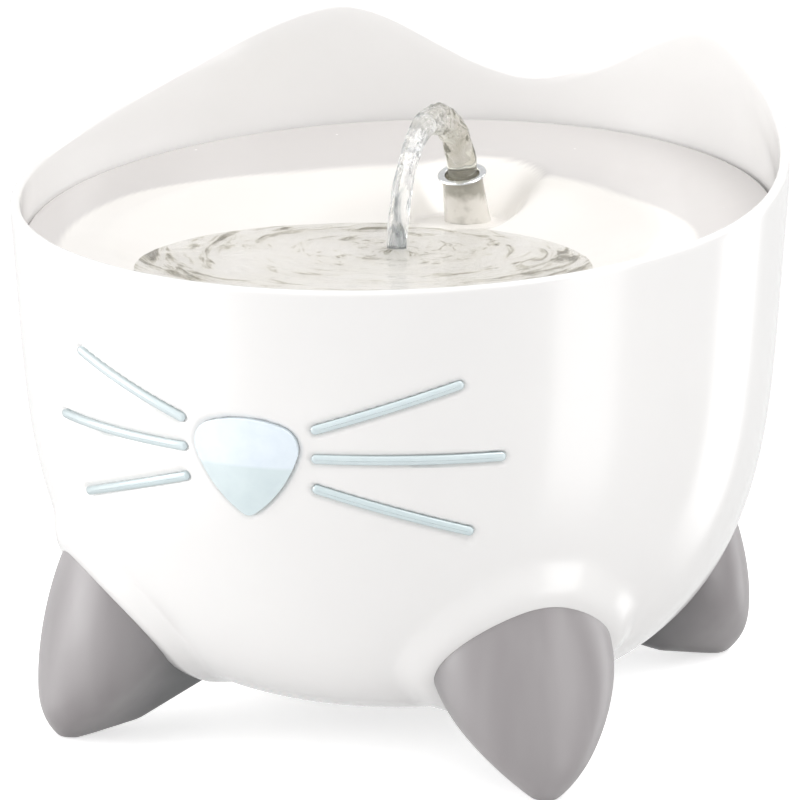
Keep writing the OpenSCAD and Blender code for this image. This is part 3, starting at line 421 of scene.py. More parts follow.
class Shader:
    """A Principled material with a few procedural layers, in object space."""

    def __init__(self, name, color, rough, **sockets):
        self.name = name
        self.mat = bpy.data.materials.new(name)
        self.mat.use_nodes = True
        self.tree = self.mat.node_tree
        self.bsdf = self.tree.nodes["Principled BSDF"]
        self.bsdf.inputs["Base Color"].default_value = (*color, 1.0)
        self.bsdf.inputs["Roughness"].default_value = rough
        for key, value in sockets.items():
            self.bsdf.inputs[key.replace("_", " ")].default_value = value
        self.coords = self.node("ShaderNodeTexCoord").outputs["Object"]
        self.mat.diffuse_color = (*color, 1.0)
        self.bump_out = None

    def node(self, kind, **values):
        n = self.tree.nodes.new(kind)
        for key, value in values.items():
            if hasattr(n, key):
                setattr(n, key, value)
            else:
                n.inputs[key.replace("_", " ")].default_value = value
        return n

    def link(self, a, b):
        self.tree.links.new(a, b)

    def noise(self, scale, detail=3.0, rough=0.55, stretch=(1, 1, 1), distort=0.0, coords=None):
        """A noise value between 0 and 1; scale is in waves for each metre."""
        mapping = self.node("ShaderNodeMapping")
        mapping.inputs["Scale"].default_value = stretch
        self.link(coords or self.coords, mapping.inputs["Vector"])
        n = self.node("ShaderNodeTexNoise", Scale=scale, Detail=detail, Roughness=rough, Distortion=distort)
        self.link(mapping.outputs["Vector"], n.inputs["Vector"])
        return n.outputs["Fac"]

    def cells(self, scale, feature="F1"):
        n = self.node("ShaderNodeTexVoronoi", feature=feature, Scale=scale)
        self.link(self.coords, n.inputs["Vector"])
        return n.outputs["Distance"]

    def bands(self, scale, direction="Z", distort=0.0):
        n = self.node("ShaderNodeTexWave", bands_direction=direction, Scale=scale, Distortion=distort)
        self.link(self.coords, n.inputs["Vector"])
        return n.outputs["Fac"]

    def attribute(self, name):
        return self.node("ShaderNodeAttribute", attribute_name=name).outputs["Fac"]

    def map_range(self, value, side, low, high, **settings):
        """A value between 0 and 1 on the one side, and between low and high on this side, From or To."""
        n = self.node("ShaderNodeMapRange", **settings)
        n.inputs[side + " Min"].default_value = low
        n.inputs[side + " Max"].default_value = high
        self.link(value, n.inputs["Value"])
        return n.outputs["Result"]

    def height(self, low, high):
        """0 at one height in metres and 1 at the other."""
        split = self.node("ShaderNodeSeparateXYZ")
        self.link(self.coords, split.inputs["Vector"])
        return self.map_range(split.outputs["Z"], "From", low, high)

    def from_axis(self, low, high):
        """0 at one distance from the fountain's axis, in metres, and 1 at the other."""
        flat = self.node("ShaderNodeVectorMath", operation="MULTIPLY")
        flat.inputs[1].default_value = (1, 1, 0)
        self.link(self.coords, flat.inputs[0])
        length = self.node("ShaderNodeVectorMath", operation="LENGTH")
        self.link(flat.outputs["Vector"], length.inputs[0])
        return self.map_range(length.outputs["Value"], "From", low, high, interpolation_type="SMOOTHSTEP")

    def facing(self, blend):
        return self.node("ShaderNodeLayerWeight", Blend=blend).outputs["Facing"]

    def mixed(self, factor, a, b):
        """Colour a where factor is 0 and b where it is 1; either may be a constant."""
        n = self.node("ShaderNodeMix", data_type="RGBA")
        self.link(factor, n.inputs["Factor"])
        for socket, value in ((n.inputs[6], a), (n.inputs[7], b)):
            if isinstance(value, tuple):
                socket.default_value = (*value, 1.0)
            else:
                self.link(value, socket)
        return n.outputs[2]

    def ramp(self, value, stops):
        """stops is a list of (place, colour)."""
        n = self.node("ShaderNodeValToRGB")
        fill_ramp(n.color_ramp, stops)
        self.link(value, n.inputs["Fac"])
        return n.outputs["Color"]

    def spread(self, value, low, high):
        return self.map_range(value, "To", low, high)

    def color(self, value, stops):
        self.link(self.ramp(value, stops), self.bsdf.inputs["Base Color"])
        return self

    def rough(self, value, low, high):
        self.link(self.spread(value, low, high), self.bsdf.inputs["Roughness"])
        return self

    def bump(self, value, height, strength=0.5):
        """height is the relief in metres."""
        n = self.node("ShaderNodeBump", Strength=strength, Distance=height)
        self.link(value, n.inputs["Height"])
        if self.bump_out is not None:
            self.link(self.bump_out, n.inputs["Normal"])
        self.bump_out = n.outputs["Normal"]
        self.link(self.bump_out, self.bsdf.inputs["Normal"])
        return self


def shade(color, factor):
    return tuple(min(1.0, c * factor) for c in color)


def moulded(name, color, rough, grain=0.00002, spread=0.03, **sockets):
    """Moulded plastic: a slight mottle, uneven gloss, and a fine skin."""
    m = Shader(name, color, rough, **sockets)
    mottle = m.noise(28, detail=2)
    m.color(mottle, [(0.3, shade(color, 1 - spread)), (0.7, shade(color, 1 + spread / 2))])
    m.rough(m.noise(160, detail=4), rough * 0.8, rough * 1.25)
    m.bump(m.noise(2600, detail=2), grain, 0.25)
    return m


def metal(name, color, rough, stretch=(1, 1, 12)):
    m = Shader(name, color, rough, Metallic=1.0)
    lines = m.noise(900, detail=4, stretch=stretch)
    m.color(lines, [(0.35, shade(color, 0.9)), (0.65, shade(color, 1.05))])
    m.rough(lines, rough * 0.7, rough * 1.4)
    m.bump(lines, 0.00001, 0.3)
    return m


def rubber(name, color):
    m = Shader(name, color, 0.62, Specular_IOR_Level=0.35)
    m.color(m.noise(60), [(0.35, shade(color, 0.85)), (0.65, shade(color, 1.2))])
    m.bump(m.noise(1800), 0.00003, 0.4)
    return m


def open_foam(name, color, dark):
    m = Shader(name, color, 0.95)
    pores = m.cells(700)
    # Painted shade: the pores are coloured darker, as the shade inside them.
    m.color(pores, [(0.05, dark), (0.45, color)])
    m.bump(pores, 0.0004, 0.9)
    return m


def foot_material():
    """Satin grey, much darker near the axis as painted shade under the bowl, with faint upright bands."""
    m = Shader("foot_grey", (0.32, 0.305, 0.308), 0.38, Coat_Weight=0.12, Coat_Roughness=0.24)
    bands = m.noise(70, detail=2, stretch=(1, 1, 0.06))
    outer = m.ramp(bands, [(0.35, (0.31, 0.29, 0.295)), (0.65, (0.36, 0.34, 0.345))])
    # Painted shade: the colour turns much darker near the axis, where the bowl shades the feet.
    m.link(m.mixed(m.from_axis(0.068, 0.106), (0.075, 0.08, 0.083), outer), m.bsdf.inputs["Base Color"])
    m.rough(m.noise(160, detail=4), 0.3, 0.44)
    return m.bump(m.noise(2600, detail=2), 0.00003, 0.25)


def window_material(name, upper, lower):
    """Clear ice-blue acrylic, paler above and darker below as a painted reflection, with a painted dark
    outline of shade at its edges.
    """
    m = Shader(name, upper, 0.08, Coat_Weight=1.0, Coat_Roughness=0.03, IOR=1.46)
    # Painted reflection: paler above a level line and darker below, as the glossy face would mirror the
    # bright sky above and the floor below.
    painted_horizon_reflection = m.ramp(m.height(0.0962, 0.0972), [(0.0, lower), (1.0, upper)])
    mottle = m.ramp(m.noise(240, detail=3), [(0.3, (0.94, 0.95, 0.96)), (0.7, (1.0, 1.0, 1.0))])
    body = m.node("ShaderNodeMix", data_type="RGBA", blend_type="MULTIPLY")
    body.inputs["Factor"].default_value = 1.0
    m.link(painted_horizon_reflection, body.inputs[6])
    m.link(mottle, body.inputs[7])
    # Painted shade: a dark outline where the surface turns away, for the side wall and the gap around it.
    edge = math_out(m.tree, "POWER", m.facing(0.5), 2.2)
    m.link(m.mixed(edge, body.outputs[2], (0.14, 0.19, 0.19)), m.bsdf.inputs["Base Color"])
    m.rough(m.noise(300), 0.05, 0.12)
    return m.bump(m.noise(420, detail=2), 0.00006, 0.3)


def dish_material():
    """Warm white basin, and a flange that is a tone greyer as painted shade."""
    m = moulded("gloss_white_dish", (0.91, 0.88, 0.84), 0.24, Coat_Weight=0.15, Coat_Roughness=0.1)
    basin = m.ramp(m.noise(24, detail=2), [(0.3, (0.85, 0.822, 0.785)), (0.7, (0.862, 0.837, 0.805))])
    # Painted shade: the flange's colour is greyed where the flange value is 1.
    m.link(m.mixed(m.attribute("flange"), basin, (0.635, 0.61, 0.597)), m.bsdf.inputs["Base Color"])
    return m


def nozzle_material():
    """Cream below as painted light, darker under the ring as its painted shadow, with an uneven edge between.
    """
    m = moulded("clear_nozzle", (0.80, 0.80, 0.76), 0.16, spread=0.04, Transmission_Weight=0.2,
                IOR=1.45, Coat_Weight=0.4)
    # Painted shadow of the ring on the upper neck, and painted light on the cream lower neck.
    edge = m.height((SEAT_Z + 7) * MM, (SEAT_Z + 10) * MM)
    uneven = math_out(m.tree, "ADD", edge, m.spread(m.noise(260, detail=2), -0.9, 0.9), clamp=True)
    m.link(m.mixed(uneven, (0.95, 0.92, 0.86), (0.50, 0.48, 0.42)), m.bsdf.inputs["Base Color"])
    return m


def ferrite_material():
    m = Shader("ferrite", (0.035, 0.035, 0.04), 0.5)
    m.color(m.noise(500), [(0.3, (0.02, 0.02, 0.024)), (0.7, (0.06, 0.06, 0.065))])
    return m.bump(m.noise(1500), 0.00003)


def ceramic_material():
    m = Shader("ceramic", (0.84, 0.82, 0.76), 0.12, Coat_Weight=0.6)
    return m.color(m.noise(300), [(0.3, (0.80, 0.78, 0.71)), (0.7, (0.88, 0.86, 0.80))])


def board_material():
    m = Shader("board_green", (0.02, 0.13, 0.05), 0.4, Coat_Weight=0.5)
    m.color(m.bands(900, "X", 2.0), [(0.45, (0.01, 0.10, 0.035)), (0.6, (0.03, 0.17, 0.07))])
    return m.bump(m.cells(900), 0.00005)


def build_materials():
    """All materials by name; the CAD nodes take theirs by the name of their slot."""
    made = [
        moulded("gloss_white", (0.90, 0.888, 0.878), 0.16, spread=0.006, Coat_Weight=0.35,
                Coat_Roughness=0.06),
        dish_material(),
        moulded("satin_white", (0.80, 0.80, 0.79), 0.38, grain=0.00004),
        foot_material(),
        moulded("filter_grey", (0.10, 0.11, 0.13), 0.45, grain=0.00005),
        moulded("impeller_blue", (0.08, 0.18, 0.34), 0.3),
        window_material("ice_window", (0.70, 0.79, 0.81), (0.68, 0.78, 0.80)),
        window_material("ice_nose", (0.84, 0.92, 0.99), (0.72, 0.82, 0.84)),
        nozzle_material(),
        metal("ring_chrome", (0.72, 0.73, 0.74), 0.14, stretch=(1, 1, 3)),
        metal("screw_steel", (0.60, 0.61, 0.62), 0.3),
        metal("core_steel", (0.30, 0.31, 0.33), 0.45, stretch=(0.2, 0.2, 40)),
        metal("copper_winding", (0.72, 0.33, 0.14), 0.35, stretch=(0.2, 0.2, 30)),
        rubber("black_silicone", (0.02, 0.02, 0.022)),
        rubber("grey_silicone", (0.09, 0.095, 0.10)),
        open_foam("foam_white", (0.78, 0.83, 0.88), (0.40, 0.46, 0.52)),
        open_foam("foam_dark", (0.07, 0.08, 0.09), (0.01, 0.01, 0.012)),
        open_foam("carbon_felt", (0.05, 0.05, 0.052), (0.008, 0.008, 0.008)),
        ferrite_material(),
        ceramic_material(),
        board_material(),
        pool_material(),
        jet_material(),
    ]
    return {m.name: m.mat for m in made}


def water_material(name):
    """Clear water; each kind adds its own painted streaks of refraction and reflection."""
    return Shader(name, (0.95, 0.95, 0.93), 0.04, IOR=1.33, Transmission_Weight=0.82, Specular_IOR_Level=0.6)


def pool_material():
    """Painted olive streaks of refraction and reflection that run around the landing place, darker there and
    at the two ends.
    """
    m = water_material("water")
    swirl = m.node("ShaderNodeAttribute", attribute_name="swirl").outputs["Vector"]
    streaks = m.noise(1.0, detail=5, rough=0.64, distort=1.3, coords=swirl)
    # Painted refraction and reflection: olive-grey and near-white streaks; they are made darker towards the
    # two ends and where the stream lands.
    streaks_darker_at_ends = math_out(m.tree, "MULTIPLY_ADD", m.attribute("ends"), -0.09, streaks)
    m.color(streaks_darker_at_ends, [(0.33, (0.15, 0.14, 0.10)), (0.39, (0.50, 0.475, 0.38)),
                     (0.435, (0.97, 0.965, 0.93)), (0.6, (1.0, 1.0, 1.0))])
    m.bump(streaks, 0.0018, 0.7)
    # The shallow water around the nozzle is so still and clear that it hardly shows
    mix = m.node("ShaderNodeMixShader")
    m.link(m.attribute("calm"), mix.inputs[0])
    m.link(m.bsdf.outputs[0], mix.inputs[1])
    m.link(m.node("ShaderNodeBsdfTransparent").outputs[0], mix.inputs[2])
    m.link(mix.outputs[0], m.tree.nodes["Material Output"].inputs["Surface"])
    return m


def jet_material():
    """Cloudy where it rises from the nozzle, then glassy with painted blue-grey and pale streaks of
    reflection and highlight as it falls.
    """
    m = water_material("water_jet")
    streaks = m.noise(110, detail=3, rough=0.5, stretch=(1, 1, 0.5), distort=1.2)
    # Painted reflections and highlights: blue-grey and near-white streaks in the falling water.
    falling = m.ramp(streaks, [(0.36, (0.28, 0.31, 0.34)), (0.44, (0.70, 0.73, 0.74)),
                               (0.49, (1.0, 1.0, 0.99)), (0.7, (1.0, 1.0, 1.0))])
    rising = m.ramp(streaks, [(0.36, (0.60, 0.585, 0.50)), (0.5, (0.72, 0.705, 0.63)),
                              (0.66, (0.84, 0.825, 0.76))])
    m.link(m.mixed(m.attribute("fall"), rising, falling), m.bsdf.inputs["Base Color"])
    m.bump(streaks, 0.0014, 0.8)
    return m


materials = build_materials()
SLOT_OF = {s["node"]: s["material_slot"] for s in frame["record"]["subparts"]}


def finish(obj, body, slot, *nodes, look=None):
    """Gives a piece its material and body, and says which CAD nodes it stands for."""
    obj.data.materials.clear()
    obj.data.materials.append(materials[look or slot])
    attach(obj, body)
    if nodes:
        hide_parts(*nodes)
    return obj


# --- Bowl --------------------------------------------------
def steps_between(a, b, step):
    n = max(1, round((b - a) / step))
    return [a + (b - a) * i / n for i in range(n)]


def bowl_angles():
    """Angles from the rear, finer across the face."""
    half = 40.0
    side = steps_between(-180 + half, 180 - half, 1.0)
    face = steps_between(180 - half, 180 + half, 0.5)
    return side + face


# Level rows of points end at FIXED_TOP; above it they follow the rim, in TOP_STEPS steps
FIXED_TOP, TOP_STEPS = 138.0, 12
ROLL_R = 1.35


def bowl_shell():
    """Outer wall from the base up, over the rounded rim, and down the inside to the floor."""
    angles = bowl_angles()

    def upper_row(i, inset):
        row = []
        for a in angles:
            z = FIXED_TOP + (rim_height(a) - ROLL_R - FIXED_TOP) * i / TOP_STEPS
            row.append(polar(bowl_r(z) - inset, a, z))
        return row

    fixed = (
        steps_between(BASE_Z, 14, 0.75) + steps_between(14, 30, 1.3) + steps_between(30, 66, 1.7)
        + steps_between(66, 78, 2.0) + steps_between(78, 124, 0.9) + steps_between(124, FIXED_TOP, 2.4)
    )
    base_r = bowl_r(BASE_Z)
    rows = [[polar(base_r * f, a, BASE_Z) for a in angles] for f in (0.1, 0.4, 0.7, 0.93)]

    for z in fixed:
        nr, nz = wall_normal(z)
        row = []
        for a in angles:
            front = (a - 180 + 540) % 360 - 180
            x, y, _ = polar(bowl_r(z), a, z)
            out = pad_bump(x, y, z) - window_recess(-front, z)
            row.append(polar(bowl_r(z) + out * nr, a, max(BASE_Z, z + out * nz)))
        rows.append(row)
    rows += [upper_row(i, 0.0) for i in range(TOP_STEPS + 1)]
    for i in range(1, 9):
        turn = math.radians(180 * i / 9)
        row = []
        for a in angles:
            z = rim_height(a) - ROLL_R
            r = bowl_r(z) - WALL / 2 + WALL / 2 * math.cos(turn)
            row.append(polar(r, a, z + ROLL_R * math.sin(turn)))
        rows.append(row)
    rows += [upper_row(i, WALL) for i in range(TOP_STEPS, -1, -1)]
    inner = steps_between(BASE_Z, 30, 2.0) + steps_between(30, FIXED_TOP, 4.0)
    for z in reversed(inner):
        nr, nz = wall_normal(z)
        rows.append([polar(bowl_r(z) - WALL * nr, a, z - WALL * nz) for a in angles])
    floor_r = bowl_r(BASE_Z) - WALL * wall_normal(BASE_Z)[0]
    floor_z = BASE_Z - WALL * wall_normal(BASE_Z)[1]
    rows += [[polar(floor_r * f, a, floor_z) for a in angles] for f in (0.7, 0.3)]
    return grid_object("bowl_shell", rows, sharp=50)


def bowl_fittings():
    """Platform under the pump and the six stepped ribs that carry tray and dish."""
    tray_z, tray_r, rib_t = 108.0, 103.5, 3.0
    pump_y, platform_r, platform_z = 39.0, 31.0, 18.0
    parts = [revolve("platform", [(0.5, BASE_Z + 1), (platform_r, BASE_Z + 1), (platform_r, platform_z - 0.6),
                                  (platform_r - 0.6, platform_z), (0.5, platform_z)],
                     (0, pump_y), caps=(True, True))]
    step_r, foot_z = tray_r + 1.4, tray_z - 22
    for angle in (30, 90, 130):
        for side in (-1, 1):
            y = RIM_R * math.cos(math.radians(angle))
            top = DISH_Z + y * TILT - 8 * FLANGE_FALL - DISH_T - 0.6
            back = [(bowl_r(z) - WALL / 2, z) for z in (top, 130, 115, 100, 90, foot_z - 6)]
            outline = back + [(tray_r - 5, foot_z + 8), (tray_r - 5, tray_z), (step_r, tray_z), (step_r, top)]
            rib = prism("rib", outline, rib_t)
            turn = Matrix.Rotation(math.radians(90 - side * angle), 4, "Z")
            upright = Matrix.Rotation(math.radians(90), 4, "X")
            placed(rib, turn @ Matrix.Translation((0, rib_t * MM / 2, 0)) @ upright)
            parts.append(rib)
    return joined("bowl_fittings", parts)


bowl = bowl_shell()
hole = revolve("hole", [(CABLE_HOLE_R, -10), (CABLE_HOLE_R, 10)], caps=(True, True))
placed(hole, Matrix.Translation((0, 0.111, CABLE_Z * MM)) @ Matrix.Rotation(math.radians(90), 4, "X"))
cut(bowl, hole, 50)
finish(bowl, "bowl", "gloss_white", "bowl")
finish(bowl_fittings(), "bowl", "gloss_white")


# --- Foot pieces -------------------------------------------
def bowl_cutter():
    """The bowl's outer form, larger by the height of the pads."""
    rows = [(0.5, BASE_Z - PAD_T)]
    for z in steps_between(BASE_Z, 90, 1.2):
        nr, nz = wall_normal(z)
        rows.append((bowl_r(z) + (PAD_T + 0.05) * nr, z + (PAD_T + 0.05) * nz))
    rows = [p for p in rows if p[0] > 0.4]
    return revolve("cutter", rows, count=240, caps=(True, True))


def foot(extra):
    mesh = bpy.data.meshes.new("foot")
    legs[extra].to_mesh(mesh)
    mesh.transform(Matrix.Scale(MM, 4))
    obj = scene_object("foot", mesh)
    mod = obj.modifiers.new("even", "REMESH")
    mod.mode, mod.voxel_size = "VOXEL", 0.0009
    mod = obj.modifiers.new("soft", "SMOOTH")
    mod.factor, mod.iterations = 0.5, 8
    apply_modifiers(obj)
    for v in obj.data.vertices:
        v.co.z = max(0.0, v.co.z)
    return cut(obj, bowl_cutter(), 38)


for front in (True, False):
    master = foot(0.0 if front else REAR_REACH)
    for side, turn in (("left", -135 if front else 135), ("right", -45 if front else 45)):
        name = f"foot_{'front' if front else 'rear'}_{side}"
        piece = scene_object(name + "_shell", master.data.copy())
        placed(piece, Matrix.Rotation(math.radians(turn), 4, "Z"))
        finish(piece, "bowl", "foot_grey", name)
    bpy.data.objects.remove(master)
for bm in legs.values():
    bm.free()


# --- Window pieces -----------------------------------------
def on_wall(a, z, h):
    """A point at angle a in radians from the face's middle, height z, and h out of the wall."""
    nr, nz = wall_normal(z)
    r = bowl_r(z) + h * nr
    return (r * math.sin(a), -r * math.cos(a), z + h * nz)


def nose_piece():
    """Lens with an upright edge, a small rounding, a flat rim and a domed middle."""
    edge_h, round_r = 0.95, 0.35
    size = NOSE_W / 2

    def ring(inset, h):
        f = 1 - inset / size
        points = [(NOSE_CENTRE[0] + (x - NOSE_CENTRE[0]) * f, NOSE_CENTRE[1] + (z - NOSE_CENTRE[1]) * f)
                  for x, z in NOSE]
        return [on_wall(math.asin(x / bowl_r(z)), z, h) for x, z in points]

    rows = [ring(0, -WALL - 1.2), ring(0, -RECESS - 0.1), ring(0, 0), ring(0, edge_h - round_r)]
    for i in range(1, 6):
        turn = math.radians(90 * i / 5)
        rows.append(ring(round_r * (1 - math.cos(turn)), edge_h - round_r * (1 - math.sin(turn))))
    rows.append(ring(1.0, edge_h))
    for i in range(1, 13):
        t = i / 12
        rows.append(ring(1.0 + (size - 1.2) * t, edge_h + (NOSE_PROUD - edge_h) * (1 - (1 - t) ** 2)))
    return grid_object("nose_lens", rows, sharp=60)


def whisker_piece(key, side):
    (u0, z0), (u1, z1) = whisker_ends(key)
    length = math.hypot(u1 - u0, z1 - z0)
    along = ((u1 - u0) / length, (z1 - z0) / length)
    across = (-along[1], along[0])
    half = WHISKER_W / 2 - 0.12
    outline = arc((length, 0), 1.0, -90, 90, 8)
    outline = [(p[0] - length, p[1], 1) for p in outline] + [(0, 1.0, 1 - i / 18) for i in range(1, 18)]
    outline += [(p[0], p[1], 0) for p in arc((0, 0), 1.0, 90, 270, 8)]
    outline += [(0, -1.0, i / 18) for i in range(1, 18)]

    def ring(width, h):
        row = []
        for x, y, end in outline:
            s, t = end * length + x * width, y * width
            u, z = u0 + along[0] * s + across[0] * t, z0 + along[1] * s + across[1] * t
            row.append(on_wall(side * u / FACE_R, z, h))
        return row

    rows = [ring(half, -WALL - 1.2), ring(half, -RECESS - 0.1), ring(half, -0.2)]
    for i in range(1, 7):
        turn = math.radians(90 * i / 6)
        rows.append(ring(max(0.02, half * math.cos(turn)), -0.2 + (WHISKER_PROUD + 0.2) * math.sin(turn)))
    return grid_object(f"whisker_{key}_{'right' if side > 0 else 'left'}_bar", rows, sharp=60)


finish(nose_piece(), "bowl", "ice_window", "nose_window", look="ice_nose")
for key in WHISKERS:
    for side in (-1, 1):
        node = f"whisker_{key}_{'right' if side > 0 else 'left'}"
        finish(whisker_piece(key, side), "bowl", "ice_window", node)


# --- Dish --------------------------------------------------
def dish_shell():
    count, edge = 300, 1.2
    angles = [360 * k / count for k in range(count)]

    def ring(r, lower):
        row = []
        for a in angles:
            x, y, _ = polar(r, a, 0)
            row.append((x, y * COS_TILT, dish_top(x, y * COS_TILT) - lower))
        return row

    radii = [0.5] + steps_between(2, DISH_R - edge, 1.25) + [DISH_R - edge]
    rows = [ring(r, 0) for r in radii]
    for i in range(1, 5):
        turn = math.radians(90 * i / 4)
        r = DISH_R - edge + edge * math.sin(turn)
        rows.append(ring(r, edge * (1 - math.cos(turn))))
    rows.append(ring(DISH_R, DISH_T))
    for r in reversed(radii[:-1:2]):
        rows.append(ring(r, DISH_T * 1.08))
    shell = grid_object("dish_shell", rows, sharp=55)
    # Painted shade: the flange value is 1 where the flange is coloured greyer; towards the front its edge
    # lies outwards of the crease, and further back it follows the crease.
    values = []
    for v in shell.data.vertices:
        flange, basin, niche = dish_forms(v.co.x / MM, v.co.y / MM)
        shade_edge_shift = 7 * (1 - smooth_step(v.co.y / MM / 50))
        values.append(smooth_step(0.5 - (flange - min(basin, niche) + shade_edge_shift) / 1.6))
    point_values(shell, "flange", values)
    return shell


def drain_cutter():
    cutters = []
    for i in range(DRAIN_COUNT):
        turn = -DRAIN_SPAN / 2 + i * DRAIN_SPAN / (DRAIN_COUNT - 1)
        half = DRAIN_LEN / 2
        outline = arc((half, 0), DRAIN_R, -90, 90, 8) + arc((-half, 0), DRAIN_R, 90, 270, 8)
        slot = prism("slot", outline, 30)
        down = Matrix.Translation((0, -(DISH_R - 9) * MM, -0.015))
        tilt = Matrix.Translation((0, 0, DISH_Z * MM)) @ Matrix.Rotation(math.radians(DISH_TILT), 4, "X")
        placed(slot, tilt @ Matrix.Rotation(math.radians(turn), 4, "Z") @ down)
        cutters.append(slot)
    bore = revolve("bore", [(COLLAR_BORE_R, SEAT_Z - 30), (COLLAR_BORE_R, SEAT_Z + 10)], (0, NOZZLE_Y),
                   caps=(True, True))
    return joined("cutter", cutters + [bore])


dish = cut(dish_shell(), drain_cutter(), 50)
collar = revolve("collar", [(COLLAR_BORE_R, SEAT_Z - 0.2), (COLLAR_BORE_R, COLLAR_Z),
                            (COLLAR_R - 0.4, COLLAR_Z), (COLLAR_R, COLLAR_Z + 0.4),
                            (COLLAR_R, SEAT_Z - 0.4)], (0, NOZZLE_Y))
dish = joined("dish_shell", [dish, collar])
finish(dish, "dish", "gloss_white_dish", "dish")


# --- Nozzle ------------------------------------------------
def nozzle_turn():
    """Places what is made about the Z axis, with the ring's plane at height 0, on the leaning nozzle."""
    lean = math.radians(NOZZLE_LEAN)
    back = NOZZLE_Y + NOZZLE_BACK
    ring_place = Vector((0, back - NOZZLE_H * math.sin(lean), SEAT_Z + NOZZLE_H * math.cos(lean))) * MM
    return Matrix.Translation(ring_place) @ Matrix.Rotation(lean, 4, "X")


def nozzle_neck():
    """Flared neck, cut level at the seat, with the spigot and its seal's groove below."""
    bore_r, spigot_r, groove_r = 3.6, 5.0, 4.1
    foot_z = -NOZZLE_H - 4
    flare = [(NOZZLE_R + (NOZZLE_FOOT_R - NOZZLE_R) * (1 - t) ** 1.6, foot_z - foot_z * t)
             for t in [i / 16 for i in range(17)]]
    inside = [(NOZZLE_R - 1, 0), (NOZZLE_R - 1.2, -2), (bore_r, -6), (bore_r, foot_z)]
    profile = [(spigot_r, -9), (spigot_r, -6), (groove_r, -6), (groove_r, -4), (spigot_r, -4), (spigot_r, 0),
               (spigot_r, 1), (bore_r, 1), (bore_r, -9)]
    spigot = revolve("spigot", [(r, SEAT_Z + z) for r, z in profile], (0, NOZZLE_Y), closed=True)
    neck = revolve("neck", flare + inside, closed=True)
    bm = bmesh.new()
    bm.from_mesh(neck.data)
    bm.transform(nozzle_turn())
    bmesh.ops.bisect_plane(bm, geom=bm.verts[:] + bm.edges[:] + bm.faces[:],
                           plane_co=(0, 0, SEAT_Z * MM), plane_no=(0, 0, 1), clear_inner=True)
    bm.to_mesh(neck.data)
    bm.free()
    return joined("nozzle_neck", [spigot, neck])


def trim_ring():
    mid, half = (RING_R + NOZZLE_R - 1) / 2, (RING_R - NOZZLE_R + 1) / 2
    profile = []
    for degrees in range(0, 360, 20):
        a = math.radians(degrees)
        out = half * math.cos(a) * (0.75 + 0.25 * abs(math.cos(a)))
        profile.append((mid + out, RING_T / 2 + RING_T / 2 * math.sin(a)))
    return placed(revolve("nozzle_trim_ring", profile, closed=True), nozzle_turn())


finish(nozzle_neck(), "nozzle", "clear_nozzle", "nozzle")
finish(trim_ring(), "nozzle", "ring_chrome", "nozzle_ring")


# --- Water -------------------------------------------------
# Where the stream lands, and how far the painted streaks of refraction and reflection reach around that place
# and outwards from it
JET_LAND_Y, SWIRL, STREAK_W = -1.5, 1.7, 5.5
GRID_STEP = 1.1


def ripple(x, y):
    """Height of the disturbed water above its level."""
    d = math.hypot(x, y - JET_LAND_Y)
    rings = 0.55 * math.sin(d / 1.9) * math.exp(-d / 22) + 0.25 * math.sin(d / 3.1 + 1) * math.exp(-d / 60)
    swirl = noise.fractal(Vector((x / 16, y / 9, 0.3)), 0.9, 2.1, 4)
    fine = noise.noise(Vector((x / 4.5, y / 3.0, 1.7)))
    return rings + 0.38 * swirl + 0.16 * fine


def water_surface():
    """Rippled top and a bottom on the dish, over the part of a grid where the dish lies under water."""
    xs = np.arange(-74, 74.01, GRID_STEP)
    ys = np.arange(-104, 70.01, GRID_STEP)
    inside = {}
    for i, x in enumerate(xs):
        for k, y in enumerate(ys):
            r = math.hypot(x, y / COS_TILT)
            if r < DISH_R - 12.6 and dish_top(x, y) < WATER_Z + 0.5:
                if math.hypot(x, y - NOZZLE_Y - NOZZLE_BACK + 0.4) > NOZZLE_FOOT_R - 0.9:
                    inside[(i, k)] = (x, y)
    cells = [(i, k) for i, k in inside if all((i + a, k + b) in inside for a, b in ((1, 0), (0, 1), (1, 1)))]
    used = sorted({(i + a, k + b) for i, k in cells for a in (0, 1) for b in (0, 1)})
    top = {key: n for n, key in enumerate(used)}
    count = len(used)
    verts, low = [], []
    for key in used:
        x, y = inside[key]
        ground = dish_top(x, y) - 0.35
        shore = smooth_step((WATER_Z - ground) / 1.6)
        verts.append((x, y, WATER_Z + ripple(x, y) * shore))
        low.append((x, y, min(ground, WATER_Z - 0.3)))
    faces, edges = [], {}
    for i, k in cells:
        loop = [top[(i, k)], top[(i + 1, k)], top[(i + 1, k + 1)], top[(i, k + 1)]]
        faces.append(loop)
        faces.append([n + count for n in reversed(loop)])
        for a, b in zip(loop, loop[1:] + loop[:1]):
            edges[(a, b)] = True
    for a, b in edges:
        if (b, a) not in edges:
            faces.append([b, a, a + count, b + count])
    obj = new_mesh("water_surface", verts + low, faces, 60)
    # Painted streaks of refraction and reflection run around the place where the stream lands, and close up
    # towards the two ends
    calm, ends, swirl = [], [], []
    for x, y, _ in verts + low:
        around, out = math.atan2(y - JET_LAND_Y, x), math.hypot(x, y - JET_LAND_Y)
        calm.append(1 - smooth_step((math.hypot(x, y - NOZZLE_Y) - NICHE_R - 1) / 6))
        # ends is 1 towards the two ends and where the stream lands, where the painted streaks are made
        # darker.
        ends.append(max(smooth_step((abs(x) - 34) / 30), 1 - smooth_step((out - 3) / 6)))
        swirl += [SWIRL * math.cos(around), SWIRL * math.sin(around), out / STREAK_W]
    point_values(obj, "calm", calm)
    point_values(obj, "ends", ends)
    obj.data.attributes.new("swirl", "FLOAT_VECTOR", "POINT").data.foreach_set("vector", swirl)
    return fix_normals(obj, 60)


